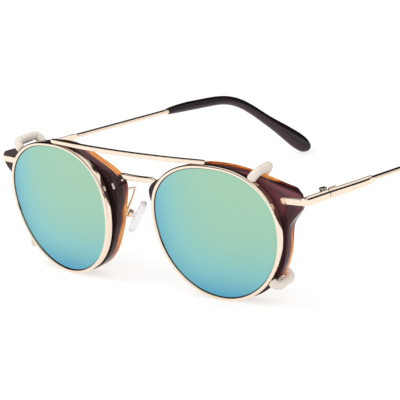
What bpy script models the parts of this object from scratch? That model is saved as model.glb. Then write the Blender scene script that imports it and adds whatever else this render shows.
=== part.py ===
"""Round glasses with a clip-on pair of mirrored sun lenses, modelled as separate pieces.

Sizes are millimetres in the front's own frame: X to the wearer's left, Y back, Z up, with the
origin midway between the lens centres on the clip's front plane.  A point on a rim is given as
u (away from the nose), v (up) and d (depth behind the clip's front plane), for a side of +1
(wearer's left) or -1 (wearer's right).  The root empty leans the whole object onto the floor.
"""
import math

import bmesh
import bpy
from mathutils import Matrix, Vector

MM = 0.001
SIDES = (("left", 1), ("right", -1))

# Lens shape and place
LENS_CENTRE_X = 34.53
WRAP = math.radians(6.4)
LENS_RADIUS = 22.57
LENS_BULGES = ((1.36, 23, 28), (1.83, 149, 28), (-1.50, 87, 27))
RING_ANGLES = [index * 7.2 for index in range(50)]

# Clip: eyewire, mirror lens, brow bar, claws and their sleeves
RING_FACE = 1.35
RING_DEPTH = 2.55
RING_EDGE = 0.25
RING_LIP = 0.20
GROOVE_FRONT = 0.65
GROOVE_BACK = 2.35
GROOVE_DEPTH = 0.62
MIRROR_EDGE = 0.50
MIRROR_FRONT = 0.70
MIRROR_BACK = 2.30
MIRROR_DOME = 0.45
BAR_HALF_DEPTH = 0.65
BAR_BEVEL = 0.3
BAR_STATIONS = ((4.0, -1.38, 23.20, 0.80), (11.0, -1.20, 23.20, 0.80), (18.0, -0.86, 23.22, 0.78),
                (24.0, -0.44, 23.26, 0.74), (28.5, -0.06, 23.30, 0.70), (31.5, 0.24, 23.30, 0.69),
                (34.4, 0.57, 23.30, 0.64))
CLAW_ANGLES = {"left": (("upper", 50), ("lower", -41)), "right": (("upper", 44), ("lower", -41))}
CLAW_RADIUS = 0.45
CLAW_D = 1.5
CLAW_BEND = 2.1
CLAW_BACK_BEND = 1.7
CLAW_HOOK = 3.2
CLAW_CLEARANCE = 0.3
CLAW_SOLDER = 0.04
SLEEVE_RADIUS = 1.5
SLEEVE_BORE = 0.75
SLEEVE_START = 0.12
SLEEVE_END = 0.9
SLEEVE_BORE_END = 0.2

# Rim: two laminated layers and the clear lens held between them
RIM_FRONT_D = 4.1
RIM_JOINT_D = 6.0
RIM_BACK_D = 8.7
LAMINATION_GAP = 0.02
RIM_WALL = 2.2
RIM_EDGE_ROUND = 0.35
RIM_BACK_ROUND = 0.9
REBATE = 0.9
REBATE_D = 7.65
CLEAR_GAP = 0.1
CLEAR_FRONT = 6.06
CLEAR_BACK = 7.60
CLEAR_DOME = 1.4
RIM_BROW_AND_CORNERS = (
    (24.9, 0.2), (25.8, 2.9), (28.7, 6.0), (32.2, 9.2), (32.3, 13.4), (29.2, 14.3), (25.3, 15.3),
    (20.8, 16.8), (15.9, 18.3), (11.2, 19.5), (5.5, 20.6), (0.0, 21.0), (-5.5, 20.9), (-11.0, 19.4),
    (-16.5, 17.2), (-21.0, 15.5), (-24.3, 14.0), (-26.9, 12.0), (-27.8, 9.7), (-27.1, 5.8),
    (-25.5, 1.4), (-24.2, -3.4), (-22.2, -7.6),
)
RIM_BOTTOM_RADIUS = 23.6
RIM_BOTTOM_BULGE = 1.1
RIM_BOTTOM_ANGLES = [-150 + index * 11.8 for index in range(13)]
MITRE_FRONT_U = 31.9
MITRE_BACK_U = 28.0

# Endpiece: bar let into the rim's front, bent back to the hinge
END_V = 11.2
END_HALF_HEIGHT = 1.20
END_HALF_THICK = 0.70
END_PROUD = 0.2
END_START_U = 23.7
END_BEND = 1.5
END_BEVEL = 0.2
ARM_X = 66.65
ARM_END_Y = 19.8
HINGE_Z = 10.0
FIT = 0.12
NOTCH_THROUGH_U = 30.9
SCREW_U = 27.6
SCREW_RADIUS = 0.45
SCREW_HEAD_RADIUS = 0.95
SCREW_HEAD = 0.5

# Hinge
AXIS_X = 64.4
AXIS_Y = 19.95
KNUCKLE_RADIUS = 1.25
KNUCKLE_HEIGHT = 0.78
KNUCKLE_GAP = 0.05
LEAF_INNER_X = 65.20
LEAF_OUTER_X = 65.88
LEAF_LENGTH = 3.4
LEAF_REACH = 1.75
SLOT_PAST_LEAF = 1.1
SLOT_FLOOR = 0.25
SLOT_BEVEL = 0.1
PIN_RADIUS = 0.50
PIN_BORE = 0.65
PIN_HEAD_RADIUS = 1.3
PIN_HEAD = 0.5

# Temple and its tip
TEMPLE_START_Y = 20.1
CONVERGENCE = 0.02
TEMPLE_DROP = math.radians(7.16)
TEMPLE_STRAIGHT = 88.65
TEMPLE_BEND_RADIUS = 61.8
TEMPLE_BEND = math.radians(35.5)
TEMPLE_LENGTH = 156.5
TEMPLE_SAGS = ((0.58, 92, 9), (1.35, 124, 13), (0.8, 146, 15))
TEMPLE_HALF_THICK = 0.70
TEMPLE_BEVEL = 0.25
ROD_RADIUS = 0.75
CORE_RADIUS = 0.60
TEMPLE_WIDE = ((0.0, 1.2, 0.0), (8.0, 1.1, 0.0), (16.0, 1.02, 0.0), (20.2, 1.0, 0.0),
               (21.6, 1.2, 0.2), (22.4, 1.15, 0.15))
TEMPLE_ROD = ((23.2, 0.75), (35.0, 0.75), (50.0, 0.75), (66.0, 0.78), (69.8, 0.95), (70.6, 0.95))
TIP_START = 70.9
TIP_BORE = 0.78
TIP_BORE_END = 0.5
CORE_END = 151.0
CORE_STEPS = 12
TIP_HALF_HEIGHTS = ((0.0, 1.15), (2.5, 1.4), (10.0, 1.7), (21.0, 1.72), (32.0, 1.64), (42.0, 1.7),
                    (50.0, 1.76), (57.0, 1.92), (64.0, 2.25), (71.0, 2.8), (78.0, 3.2), (82.5, 2.9),
                    (84.9, 1.9), (85.6, 0.9))
TIP_HALF_THICK_START = 1.15
TIP_HALF_THICK_END = 1.55

# Bridge and its rivets
BRIDGE_Y = 3.6
BRIDGE_Z = 12.95
BRIDGE_DIP = 0.15
BRIDGE_HALF_HEIGHT = 1.0
BRIDGE_HALF_THICK = 0.62
BRIDGE_BEVEL = 0.15
BRIDGE_END_X = 5.8
BRIDGE_BEND = (-1.6, 2.7)
FOOT_D = 6.70
FOOT_U = -25.2
FOOT_V = 9.9
FOOT_RADIUS = 1.65
POCKET_FIT = 0.15
RIVET_RADIUS = 0.50
RIVET_BORE = 0.65
RIVET_HEAD_RADIUS = 1.05
RIVET_HEAD = 0.35

# Nose pads
ARM_WIRE = 0.4
ARM_HOLE = 0.52
PAD_HOLE_U = -25.6
PAD_HOLE_V = 7.2
PAD_ARM_BOW = ((7.55, 2.9, -0.6), (7.6, 3.1, -1.0), (9.9, 3.0, -5.0), (12.3, 2.9, -8.6))
PAD_CENTRE = (10.6, 12.0, -4.9)
PAD_UP = (-0.503, 0.21, 0.838)
PAD_FACE = (-0.676, 0.506, -0.532)
PAD_HALF_LENGTH = 6.2
PAD_HALF_WIDTH = 3.5
PAD_HALF_THICK = 1.2
BOSS_HALF = 0.62
BOSS_LENGTH = 1.9
BOX_HALF_WIDTH = 1.25
BOX_WALL = 0.42
BOX_CLEARANCE = 0.15
BOX_LIP = 0.08
BOX_HALF_LENGTH = 1.2
PAD_SCREW_RADIUS = 0.35
PAD_SCREW_BORE = 0.5
PAD_SCREW_HEAD = 0.6
PAD_SCREW_HEAD_LENGTH = 0.35
WIRE_BUTT = 0.05
WIRE_LEAD = 0.9
WIRE_IN_RIM = 1.5

MATERIALS = {
    "dark_acetate": ((0.045, 0.025, 0.02), 0.0, 0.2),
    "amber_acetate": ((0.35, 0.12, 0.03), 0.0, 0.2),
    "clear_lens": ((0.75, 0.8, 0.82), 0.0, 0.05),
    "mirror_lens": ((0.25, 0.55, 0.58), 1.0, 0.05),
    "gold": ((0.78, 0.6, 0.42), 1.0, 0.2),
    "steel": ((0.6, 0.6, 0.6), 1.0, 0.25),
    "silicone": ((0.8, 0.8, 0.78), 0.0, 0.4),
}


def lens_radius(angle):
    """Radius of the mirror lens at an angle in degrees, counted from the outer side upward."""
    radius = LENS_RADIUS
    for height, centre, spread in LENS_BULGES:
        offset = (angle - centre + 180) % 360 - 180
        radius += height * math.exp(-(offset / spread) ** 2)
    return radius


def rim_point(side, u, v, d):
    """Point of the front's frame for a place on one rim."""
    return Vector((side * (LENS_CENTRE_X + math.cos(WRAP) * u - math.sin(WRAP) * d),
                   math.sin(WRAP) * u + math.cos(WRAP) * d, v))


def rim_direction(side, u, v, d):
    """Direction of the front's frame for a direction on one rim."""
    return rim_point(side, u, v, d) - rim_point(side, 0, 0, 0)


def polar(radius, angle):
    return radius * math.cos(math.radians(angle)), radius * math.sin(math.radians(angle))


def add_empty(name, parent, place=(0, 0, 0)):
    empty = bpy.data.objects.new(name, None)
    bpy.context.scene.collection.objects.link(empty)
    empty.parent = parent
    empty.location = Vector(place) * MM
    return empty


def add_material(name, slot):
    colour, metallic, roughness = MATERIALS[slot]
    material = bpy.data.materials.new(name + "_" + slot)
    material.use_nodes = True
    shader = material.node_tree.nodes["Principled BSDF"]
    shader.inputs["Base Color"].default_value = (*colour, 1)
    shader.inputs["Metallic"].default_value = metallic
    shader.inputs["Roughness"].default_value = roughness
    return material


def loft(name, loops, parent, slot=None, closed=False):
    """One solid from loops of points, each joined to the next, capped at the ends unless closed."""
    count = len(loops[0])
    mesh = bpy.data.meshes.new(name)
    solid = bmesh.new()
    shift = parent.location
    rows = [[solid.verts.new(Vector(point) * MM - shift) for point in loop] for loop in loops]
    for index in range(len(rows) if closed else len(rows) - 1):
        here = rows[index]
        there = rows[(index + 1) % len(rows)]
        for k in range(count):
            after = (k + 1) % count
            solid.faces.new((here[k], here[after], there[after], there[k]))
    if not closed:
        solid.faces.new(rows[0])
        solid.faces.new(rows[-1])
    bmesh.ops.recalc_face_normals(solid, faces=solid.faces)
    bmesh.ops.triangulate(solid, faces=solid.faces)
    for face in solid.faces:
        face.smooth = True
    for edge in solid.edges:
        edge.smooth = edge.calc_face_angle(0) < math.radians(35)
    solid.to_mesh(mesh)
    solid.free()
    piece = bpy.data.objects.new(name, mesh)
    bpy.context.scene.collection.objects.link(piece)
    piece.parent = parent
    if slot:
        mesh.materials.append(add_material(name, slot))
    else:
        piece.hide_render = True
        piece.display_type = "WIRE"
    return piece


def cut(piece, cutter):
    modifier = piece.modifiers.new(cutter.name, "BOOLEAN")
    modifier.operation = "DIFFERENCE"
    modifier.solver = "EXACT"
    modifier.object = cutter


def box_loop(centre, across, up, half_across, half_up, bevel):
    """Eight-sided section: a rectangle with bevelled corners."""
    corners = ((1, 1 - bevel / half_up), (1 - bevel / half_across, 1),
               (-1 + bevel / half_across, 1), (-1, 1 - bevel / half_up),
               (-1, -1 + bevel / half_up), (-1 + bevel / half_across, -1),
               (1 - bevel / half_across, -1), (1, -1 + bevel / half_up))
    return [centre + across * (half_across * a) + up * (half_up * b) for a, b in corners]


def oval_loop(centre, across, up, half_across, half_up, count=10, power=1.0):
    """Oval section; a power below one squares it."""
    loop = []
    for index in range(count):
        angle = math.tau * index / count
        a = math.copysign(abs(math.cos(angle)) ** power, math.cos(angle))
        b = math.copysign(abs(math.sin(angle)) ** power, math.sin(angle))
        loop.append(centre + across * (half_across * a) + up * (half_up * b))
    return loop


def tube_loops(path, radii, reference, count=8):
    """Round sections along a path of points."""
    loops = []
    for index, point in enumerate(path):
        before = path[max(index - 1, 0)]
        after = path[min(index + 1, len(path) - 1)]
        tangent = (after - before).normalized()
        across = tangent.cross(reference).normalized()
        up = across.cross(tangent)
        loops.append(oval_loop(point, across, up, radii[index], radii[index], count))
    return loops


def turned(name, start, direction, profile, parent, slot=None, count=16):
    """Turned solid from (distance, radius) steps along a direction."""
    direction = Vector(direction).normalized()
    reference = Vector((0, 0, 1)) if abs(direction.z) < 0.9 else Vector((0, 1, 0))
    across = direction.cross(reference).normalized()
    up = across.cross(direction)
    loops = [oval_loop(Vector(start) + direction * distance, across, up, radius, radius, count)
             for distance, radius in profile]
    return loft(name, loops, parent, slot)


def rim_outline():
    """Outer outline of a rim, its control polygon softened once by cutting the corners."""
    controls = list(RIM_BROW_AND_CORNERS)
    for angle in RIM_BOTTOM_ANGLES:
        controls.append(polar(RIM_BOTTOM_RADIUS
                              + RIM_BOTTOM_BULGE * math.cos(math.radians(angle + 45)), angle))
    outline = []
    for (u0, v0), (u1, v1) in zip(controls, controls[1:] + controls[:1]):
        outline.append((0.75 * u0 + 0.25 * u1, 0.75 * v0 + 0.25 * v1))
        outline.append((0.25 * u0 + 0.75 * u1, 0.25 * v0 + 0.75 * v1))
    return outline


def outer_loop(side, inset, limit, d):
    """Rim outline drawn in by an inset and cut off at the mitre."""
    loop = []
    for u, v in OUTLINE:
        scale = 1 - inset / math.hypot(u, v)
        loop.append(rim_point(side, min(u * scale, limit), v * scale, d))
    return loop


def inner_loop(side, offset, d, share=1.0):
    """Loop that follows the lens opening of a rim at the outline's angles."""
    loop = []
    for u, v in OUTLINE:
        angle = math.degrees(math.atan2(v, u))
        radius = share * (lens_radius(angle) - RIM_WALL + offset)
        loop.append(rim_point(side, *polar(radius, angle), d))
    return loop


def ring_loop(side, offset, d, share=1.0):
    """Loop that follows the mirror lens."""
    return [rim_point(side, *polar(share * (lens_radius(angle) + offset), angle), d)
            for angle in RING_ANGLES]


def rim_edge(angle):
    """Largest radius of the rim outline close to an angle."""
    near = [math.hypot(u, v) for u, v in OUTLINE
            if abs((math.degrees(math.atan2(v, u)) - angle + 180) % 360 - 180) < 7]
    return max(near)


def temple_station(side, s):
    """Centre of the temple at a length s from its front end, and its own up direction.

    The line is straight, a plain arc and straight again; the sags press it down a little."""
    drop = TEMPLE_DROP
    straight = min(s, TEMPLE_STRAIGHT)
    y = straight * math.cos(drop)
    z = -straight * math.sin(drop)
    turn = min(max(s - TEMPLE_STRAIGHT, 0) / TEMPLE_BEND_RADIUS, TEMPLE_BEND)
    y += TEMPLE_BEND_RADIUS * (math.sin(drop + turn) - math.sin(drop))
    z -= TEMPLE_BEND_RADIUS * (math.cos(drop) - math.cos(drop + turn))
    rest = max(s - TEMPLE_STRAIGHT - TEMPLE_BEND_RADIUS * TEMPLE_BEND, 0)
    y += rest * math.cos(drop + turn)
    z -= rest * math.sin(drop + turn)
    centre = Vector((side * (ARM_X - CONVERGENCE * y), TEMPLE_START_Y + y, HINGE_Z + z))
    up = Vector((0, math.sin(drop + turn), math.cos(drop + turn)))
    for depth, middle, spread in TEMPLE_SAGS:
        centre -= up * depth * math.exp(-((s - middle) / spread) ** 2)
    return centre, up


def build_clip_side(side, label, clip):
    """Eyewire, mirror lens, claws and sleeves of one side of the clip."""
    section = ((0, GROOVE_FRONT), (0, RING_LIP), (RING_LIP, 0), (RING_FACE - RING_EDGE, 0),
               (RING_FACE, RING_EDGE), (RING_FACE, RING_DEPTH - RING_EDGE),
               (RING_FACE - RING_EDGE, RING_DEPTH), (0, RING_DEPTH), (0, GROOVE_BACK),
               (GROOVE_DEPTH, GROOVE_BACK), (GROOVE_DEPTH, GROOVE_FRONT))
    loft("clip_ring_" + label, [ring_loop(side, offset, d) for offset, d in section], clip,
         "gold", closed=True)

    loops = []
    for base, shares in ((MIRROR_FRONT, (0.45, 1.0)), (MIRROR_BACK, (1.0, 0.45))):
        for share in shares:
            loops.append(ring_loop(side, MIRROR_EDGE, base - MIRROR_DOME * (1 - share ** 2), share))
    loft("clip_lens_" + label, loops, clip, "mirror_lens")

    for where, angle in CLAW_ANGLES[label]:
        start = lens_radius(angle) + RING_FACE + CLAW_SOLDER
        lane = max(rim_edge(angle) + CLAW_CLEARANCE + SLEEVE_RADIUS, start + 0.1 + CLAW_BEND)
        back = RIM_BACK_D + CLAW_CLEARANCE + SLEEVE_RADIUS
        places = [(start, CLAW_D), (start + SLEEVE_START, CLAW_D)]
        for turn in (0, 30, 60, 90):
            places.append((lane - CLAW_BEND * (1 - math.sin(math.radians(turn))) + CLAW_SOLDER,
                           CLAW_D + CLAW_BEND * (1 - math.cos(math.radians(turn)))))
        for turn in (0, 30, 60, 90):
            places.append((lane - CLAW_BACK_BEND * (1 - math.cos(math.radians(turn))),
                           back - CLAW_BACK_BEND * (1 - math.sin(math.radians(turn)))))
        places.append((lane - CLAW_HOOK, back))
        path = [rim_point(side, *polar(radius, angle), d) for radius, d in places]
        around = rim_direction(side, *polar(1, angle + 90), 0)
        name = where + "_" + label
        loft("claw_" + name, tube_loops(path, [CLAW_RADIUS] * len(path), around), clip, "gold")

        covered = path[1:]
        direction = (covered[-1] - covered[-2]).normalized()
        inner = covered[:-1] + [covered[-1] + direction * SLEEVE_BORE_END]
        outer = covered + [covered[-1] + direction * (SLEEVE_END * 0.5),
                           covered[-1] + direction * SLEEVE_END]
        outer_radii = [SLEEVE_RADIUS] * (len(covered) + 1) + [SLEEVE_RADIUS * 0.6]
        bore = tube_loops(inner, [SLEEVE_BORE] * len(inner), around, 10)
        skin = tube_loops(outer, outer_radii, around, 10)
        loft("claw_sleeve_" + name, bore[::-1] + skin, clip, "silicone")


def build_bar(clip):
    """Brow bar, bowed with the wrap of the front and lying on the tops of both eyewires."""
    stations = [(-x, y, z, high) for x, y, z, high in BAR_STATIONS[::-1]] + list(BAR_STATIONS)
    loops = []
    for index, (x, y, z, high) in enumerate(stations):
        before = stations[max(index - 1, 0)]
        after = stations[min(index + 1, len(stations) - 1)]
        across = Vector((before[1] - after[1], after[0] - before[0], 0)).normalized()
        loops.append(box_loop(Vector((x, y, z)), across, Vector((0, 0, 1)), BAR_HALF_DEPTH, high,
                              BAR_BEVEL))
    loft("clip_bar", loops, clip, "gold")


def build_rim(side, label, front):
    """Both layers of one rim, its clear lens and the cuts for bridge, endpiece and pad arm."""
    mitre = (MITRE_FRONT_U - MITRE_BACK_U) / (RIM_BACK_D - RIM_JOINT_D)
    dark = loft("rim_front_" + label, [
        outer_loop(side, RIM_EDGE_ROUND, 99, RIM_FRONT_D),
        outer_loop(side, 0, 99, RIM_FRONT_D + RIM_EDGE_ROUND),
        outer_loop(side, 0, MITRE_FRONT_U, RIM_JOINT_D),
        inner_loop(side, 0, RIM_JOINT_D),
        inner_loop(side, 0, RIM_FRONT_D + RIM_EDGE_ROUND),
        inner_loop(side, RIM_EDGE_ROUND, RIM_FRONT_D)], front, "dark_acetate", closed=True)
    top = RIM_JOINT_D + LAMINATION_GAP
    amber = loft("rim_back_" + label, [
        outer_loop(side, 0, MITRE_FRONT_U - mitre * LAMINATION_GAP, top),
        outer_loop(side, 0, MITRE_BACK_U + mitre * RIM_BACK_ROUND, RIM_BACK_D - RIM_BACK_ROUND),
        outer_loop(side, RIM_BACK_ROUND * 0.3, MITRE_BACK_U + mitre * RIM_BACK_ROUND * 0.3,
                   RIM_BACK_D - RIM_BACK_ROUND * 0.3),
        outer_loop(side, RIM_BACK_ROUND, MITRE_BACK_U, RIM_BACK_D),
        inner_loop(side, RIM_EDGE_ROUND, RIM_BACK_D),
        inner_loop(side, 0, RIM_BACK_D - RIM_EDGE_ROUND),
        inner_loop(side, 0, REBATE_D),
        inner_loop(side, REBATE, REBATE_D),
        inner_loop(side, REBATE, top)], front, "amber_acetate", closed=True)

    edge = REBATE - CLEAR_GAP
    ledge = -CLEAR_GAP
    loops = [inner_loop(side, ledge, CLEAR_FRONT - CLEAR_DOME * (1 - share ** 2), share)
             for share in (0.5, 1.0)]
    loops += [inner_loop(side, edge, CLEAR_FRONT), inner_loop(side, edge, CLEAR_BACK)]
    loops += [inner_loop(side, edge, CLEAR_BACK - CLEAR_DOME * (1 - share ** 2), share)
              for share in (0.5,)]
    loft("lens_clear_" + label, loops, front, "clear_lens")

    back = rim_direction(side, 0, 0, 1)
    notch = loft("notch_" + label, endpiece_loops(side, FIT)[:6], front)
    cut(dark, notch)
    through_loops = [box_loop(rim_point(side, NOTCH_THROUGH_U + 3, END_V, d),
                              rim_direction(side, 1, 0, 0), Vector((0, 0, 1)), 3.0,
                              END_HALF_HEIGHT + FIT + 0.03, 0.05)
                     for d in (RIM_FRONT_D - 1, RIM_JOINT_D + 1)]
    cut(dark, loft("notch_through_" + label, through_loops, front))

    pocket = loft("pocket_" + label, bridge_loops(side, POCKET_FIT)[::side], front)
    cut(amber, pocket)
    rivet_hole = turned("rivet_hole_" + label, rim_point(side, FOOT_U, FOOT_V, RIM_FRONT_D - 1),
                        back, ((0, RIVET_BORE), (RIM_JOINT_D - RIM_FRONT_D + 1.5, RIVET_BORE)),
                        front)
    cut(dark, rivet_hole)
    wire_hole = turned("wire_hole_" + label,
                       rim_point(side, PAD_HOLE_U, PAD_HOLE_V, RIM_BACK_D - WIRE_IN_RIM - 0.2), back,
                       ((0, ARM_HOLE), (3, ARM_HOLE)), front)
    cut(amber, wire_hole)
    screw_hole = turned("screw_hole_" + label, rim_point(side, SCREW_U, END_V, RIM_BACK_D + 1),
                        -back, ((0, SCREW_HEAD_RADIUS + 0.2), (1 + SCREW_HEAD, SCREW_HEAD_RADIUS + 0.2),
                                (1.01 + SCREW_HEAD, SCREW_RADIUS + 0.2),
                                (1 + RIM_BACK_D - RIM_FRONT_D, SCREW_RADIUS + 0.2)), front)
    cut(amber, screw_hole)
    cut(dark, screw_hole)
    return screw_hole


def endpiece_loops(side, grow):
    """Sections of the endpiece bar from its round front end to the hinge."""
    thick = END_HALF_THICK + grow
    high = END_HALF_HEIGHT + grow
    depth = RIM_FRONT_D - END_PROUD + END_HALF_THICK
    up = Vector((0, 0, 1))
    normal = rim_direction(side, 0, 0, 1)
    loops = []
    for share, size in ((0.0, 0.3), (0.12, 0.62), (0.4, 0.88), (1.0, 1.0)):
        centre = rim_point(side, END_START_U - grow + share * high, END_V, depth)
        loops.append(box_loop(centre, normal, up, thick, high * size, END_BEVEL))
    corner_u = (ARM_X - LENS_CENTRE_X + math.sin(WRAP) * depth) / math.cos(WRAP)
    corner = rim_point(side, corner_u, END_V, depth)
    along = rim_direction(side, -1, 0, 0)
    for u in (SCREW_U, corner_u - END_BEND):
        loops.append(box_loop(rim_point(side, u, END_V, depth), normal, up, thick, high,
                              END_BEVEL))
    start = corner + along * END_BEND
    finish = corner + Vector((0, END_BEND, 0))
    for share in (0.25, 0.5, 0.75, 1.0):
        centre = start * (1 - share) ** 2 + corner * (2 * share * (1 - share)) + finish * share ** 2
        across = (normal * (1 - share) + Vector((-side, 0, 0)) * share).normalized()
        loops.append(box_loop(centre, across, up, thick, high, END_BEVEL))
    end = Vector((side * ARM_X, ARM_END_Y, HINGE_Z))
    for share in (0.3, 1.0):
        loops.append(box_loop(finish.lerp(end, share), Vector((-side, 0, 0)), up, thick, high,
                              END_BEVEL))
    return loops


def build_endpiece(side, label, front, screw_hole):
    """Bar, screw from the rim's back and the front hinge leaf."""
    back = rim_direction(side, 0, 0, 1)
    bar = loft("endpiece_" + label, endpiece_loops(side, 0), front, "gold")
    cut(bar, screw_hole)
    length = RIM_BACK_D - RIM_FRONT_D - 0.35
    turned("endpiece_screw_" + label, rim_point(side, SCREW_U, END_V, RIM_BACK_D - 0.05), -back,
           ((0, SCREW_HEAD_RADIUS * 0.8), (0.1, SCREW_HEAD_RADIUS), (0.35, SCREW_HEAD_RADIUS),
            (0.45, SCREW_RADIUS), (length, SCREW_RADIUS)), front, "steel")


def leaf_outline(side, direction, slope):
    """Plan of a hinge leaf: plate and barrel; direction is -1 for the front leaf, 1 for the temple's."""
    points = [(LEAF_INNER_X, LEAF_REACH + LEAF_LENGTH), (LEAF_OUTER_X, LEAF_REACH + LEAF_LENGTH),
              (LEAF_OUTER_X, LEAF_REACH - 0.2)]
    for angle in range(0, -301, -25):
        radians = math.radians(angle)
        points.append((AXIS_X + KNUCKLE_RADIUS * math.cos(radians),
                       KNUCKLE_RADIUS * math.sin(radians)))
    points.append((LEAF_INNER_X, LEAF_REACH))
    outline = []
    for x, y in points:
        lean = slope * max(y - LEAF_REACH, 0)
        outline.append((side * (x - lean), AXIS_Y + direction * y))
    return outline


def build_leaf(name, side, direction, slope, parent, slots):
    """Hinge leaf with its knuckles: the slots leave room for the other leaf's knuckles."""
    half = 1.5 * KNUCKLE_HEIGHT + KNUCKLE_GAP
    fall = math.tan(TEMPLE_DROP) if direction > 0 else 0
    loops = [[Vector((x, y, HINGE_Z + z - fall * max(y - AXIS_Y - LEAF_REACH, 0)))
              for x, y in leaf_outline(side, direction, slope)] for z in (-half, half)]
    leaf = loft(name, loops, parent, "gold")
    bore = turned(name + "_bore", (side * AXIS_X, AXIS_Y, HINGE_Z - 3), (0, 0, 1),
                  ((0, PIN_BORE), (6, PIN_BORE)), parent)
    cut(leaf, bore)
    wide = max(KNUCKLE_RADIUS, LEAF_OUTER_X - AXIS_X) + SLOT_PAST_LEAF
    for index, (low, high) in enumerate(slots):
        centre = Vector((side * AXIS_X, AXIS_Y, HINGE_Z))
        loops = [box_loop(centre + Vector((0, 0, z)), Vector((1, 0, 0)), Vector((0, 1, 0)),
                          wide, LEAF_REACH - SLOT_FLOOR, SLOT_BEVEL) for z in (low, high)]
        cut(leaf, loft(name + "_slot_" + str(index), loops, parent))


def build_hinge_and_temple(side, label, front, temple):
    """Hinge screw and front leaf on the front; leaf, temple and tip on the folding empty."""
    step = KNUCKLE_HEIGHT / 2 + KNUCKLE_GAP
    build_leaf("hinge_leaf_" + label, side, -1, 0.0, front, ((-step, step),))
    build_leaf("temple_leaf_" + label, side, 1, CONVERGENCE, temple,
               ((-4, -step + KNUCKLE_GAP), (step - KNUCKLE_GAP, 4)))
    half = 1.5 * KNUCKLE_HEIGHT + KNUCKLE_GAP
    turned("hinge_screw_" + label, (side * AXIS_X, AXIS_Y, HINGE_Z + half + 0.05 + PIN_HEAD),
           (0, 0, -1), ((0, PIN_HEAD_RADIUS * 0.8), (0.15, PIN_HEAD_RADIUS),
                        (PIN_HEAD, PIN_HEAD_RADIUS), (PIN_HEAD + 0.02, PIN_RADIUS),
                        (PIN_HEAD + 2 * half, PIN_RADIUS)), front, "steel")

    across = Vector((side, 0, 0))
    loops = []
    for s, high, lift in TEMPLE_WIDE:
        centre, up = temple_station(side, s)
        loops.append(box_loop(centre + up * lift, across, up, TEMPLE_HALF_THICK, high,
                              TEMPLE_BEVEL))
    core_start = TEMPLE_ROD[-1][0] + 0.1
    stations = list(TEMPLE_ROD)
    for index in range(CORE_STEPS + 1):
        stations.append((core_start + (CORE_END - core_start) * index / CORE_STEPS, CORE_RADIUS))
    for s, radius in stations:
        centre, up = temple_station(side, s)
        loops.append(box_loop(centre, across, up, radius, radius, radius * 0.58))
    loft("temple_" + label, loops, temple, "gold")

    bore = []
    for s, _ in stations[len(TEMPLE_ROD):]:
        centre, up = temple_station(side, max(s, TIP_START))
        bore.append(oval_loop(centre, across, up, TIP_BORE, TIP_BORE, 10))
    centre, up = temple_station(side, CORE_END + TIP_BORE_END)
    bore.append(oval_loop(centre, across, up, TIP_BORE, TIP_BORE, 10))
    skin = []
    for s, high in TIP_HALF_HEIGHTS:
        centre, up = temple_station(side, TIP_START + s)
        share = s / (TEMPLE_LENGTH - TIP_START)
        thick = TIP_HALF_THICK_START + (TIP_HALF_THICK_END - TIP_HALF_THICK_START) * share
        thick = min(thick, high)
        skin.append(oval_loop(centre, across, up, thick, high, 10, 0.85))
    loft("temple_tip_" + label, bore[::-1] + skin, temple, "dark_acetate")


def bridge_loops(side, grow):
    """Sections of half the bridge, from the foot in one rim to the middle of the bar."""
    normal = rim_direction(side, 0, 0, 1)
    thick = BRIDGE_HALF_THICK + grow
    bar_end = Vector((side * BRIDGE_END_X, BRIDGE_Y, BRIDGE_Z))
    foot = rim_point(side, FOOT_U, FOOT_V, FOOT_D)
    bend = rim_point(side, FOOT_U + BRIDGE_BEND[0], FOOT_V + BRIDGE_BEND[1], FOOT_D)
    along = (bend - foot).normalized()
    across = along.cross(normal).normalized()
    loops = []
    for share, size in ((-1.0, 0.3), (-0.85, 0.6), (-0.5, 0.88), (0.0, 1.0), (0.5, 0.88),
                        (0.9, 0.72)):
        loops.append(box_loop(foot + along * (FOOT_RADIUS + grow) * share, normal, across, thick,
                              (FOOT_RADIUS + grow) * size, BRIDGE_BEVEL))
    high = BRIDGE_HALF_HEIGHT + grow
    level = Vector((side, 0, 0)).cross(Vector((0, 1, 0)))
    turn = (across + (-level if across.dot(level) < 0 else level)).normalized()
    loops.append(box_loop(bend.lerp(bar_end, 0.1), normal, turn, thick, high,
                          BRIDGE_BEVEL))
    upright = level if across.dot(level) > 0 else -level
    loops.append(box_loop(bar_end, Vector((0, 1, 0)), upright, thick, high, BRIDGE_BEVEL))
    loops.append(box_loop(Vector((side * BRIDGE_END_X * 0.5, BRIDGE_Y, BRIDGE_Z - BRIDGE_DIP * 0.7)),
                          Vector((0, 1, 0)), upright, thick, high, BRIDGE_BEVEL))
    return loops


def build_bridge(front):
    """One bar from foot to foot with a rivet hole in each foot, and the two rivets."""
    first = bridge_loops(1, 0)
    second = [loop[::-1] for loop in bridge_loops(-1, 0)]
    middle = box_loop(Vector((0, BRIDGE_Y, BRIDGE_Z - BRIDGE_DIP)), Vector((0, 1, 0)),
                      Vector((0, 0, 1)), BRIDGE_HALF_THICK, BRIDGE_HALF_HEIGHT, BRIDGE_BEVEL)
    bridge = loft("bridge", align([*first, middle, *second[::-1]]), front, "gold")
    for label, side in SIDES:
        back = rim_direction(side, 0, 0, 1)
        start = rim_point(side, FOOT_U, FOOT_V, RIM_FRONT_D - 0.05 - RIVET_HEAD)
        bore = turned("foot_hole_" + label, start, back, ((0, RIVET_BORE), (6, RIVET_BORE)), front)
        cut(bridge, bore)
        end = FOOT_D + BRIDGE_HALF_THICK - RIM_FRONT_D + RIVET_HEAD
        turned("bridge_rivet_" + label, start, back,
               ((0, RIVET_HEAD_RADIUS * 0.7), (RIVET_HEAD * 0.5, RIVET_HEAD_RADIUS),
                (RIVET_HEAD, RIVET_HEAD_RADIUS), (RIVET_HEAD + 0.01, RIVET_RADIUS),
                (end, RIVET_RADIUS)), front, "steel")


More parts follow.
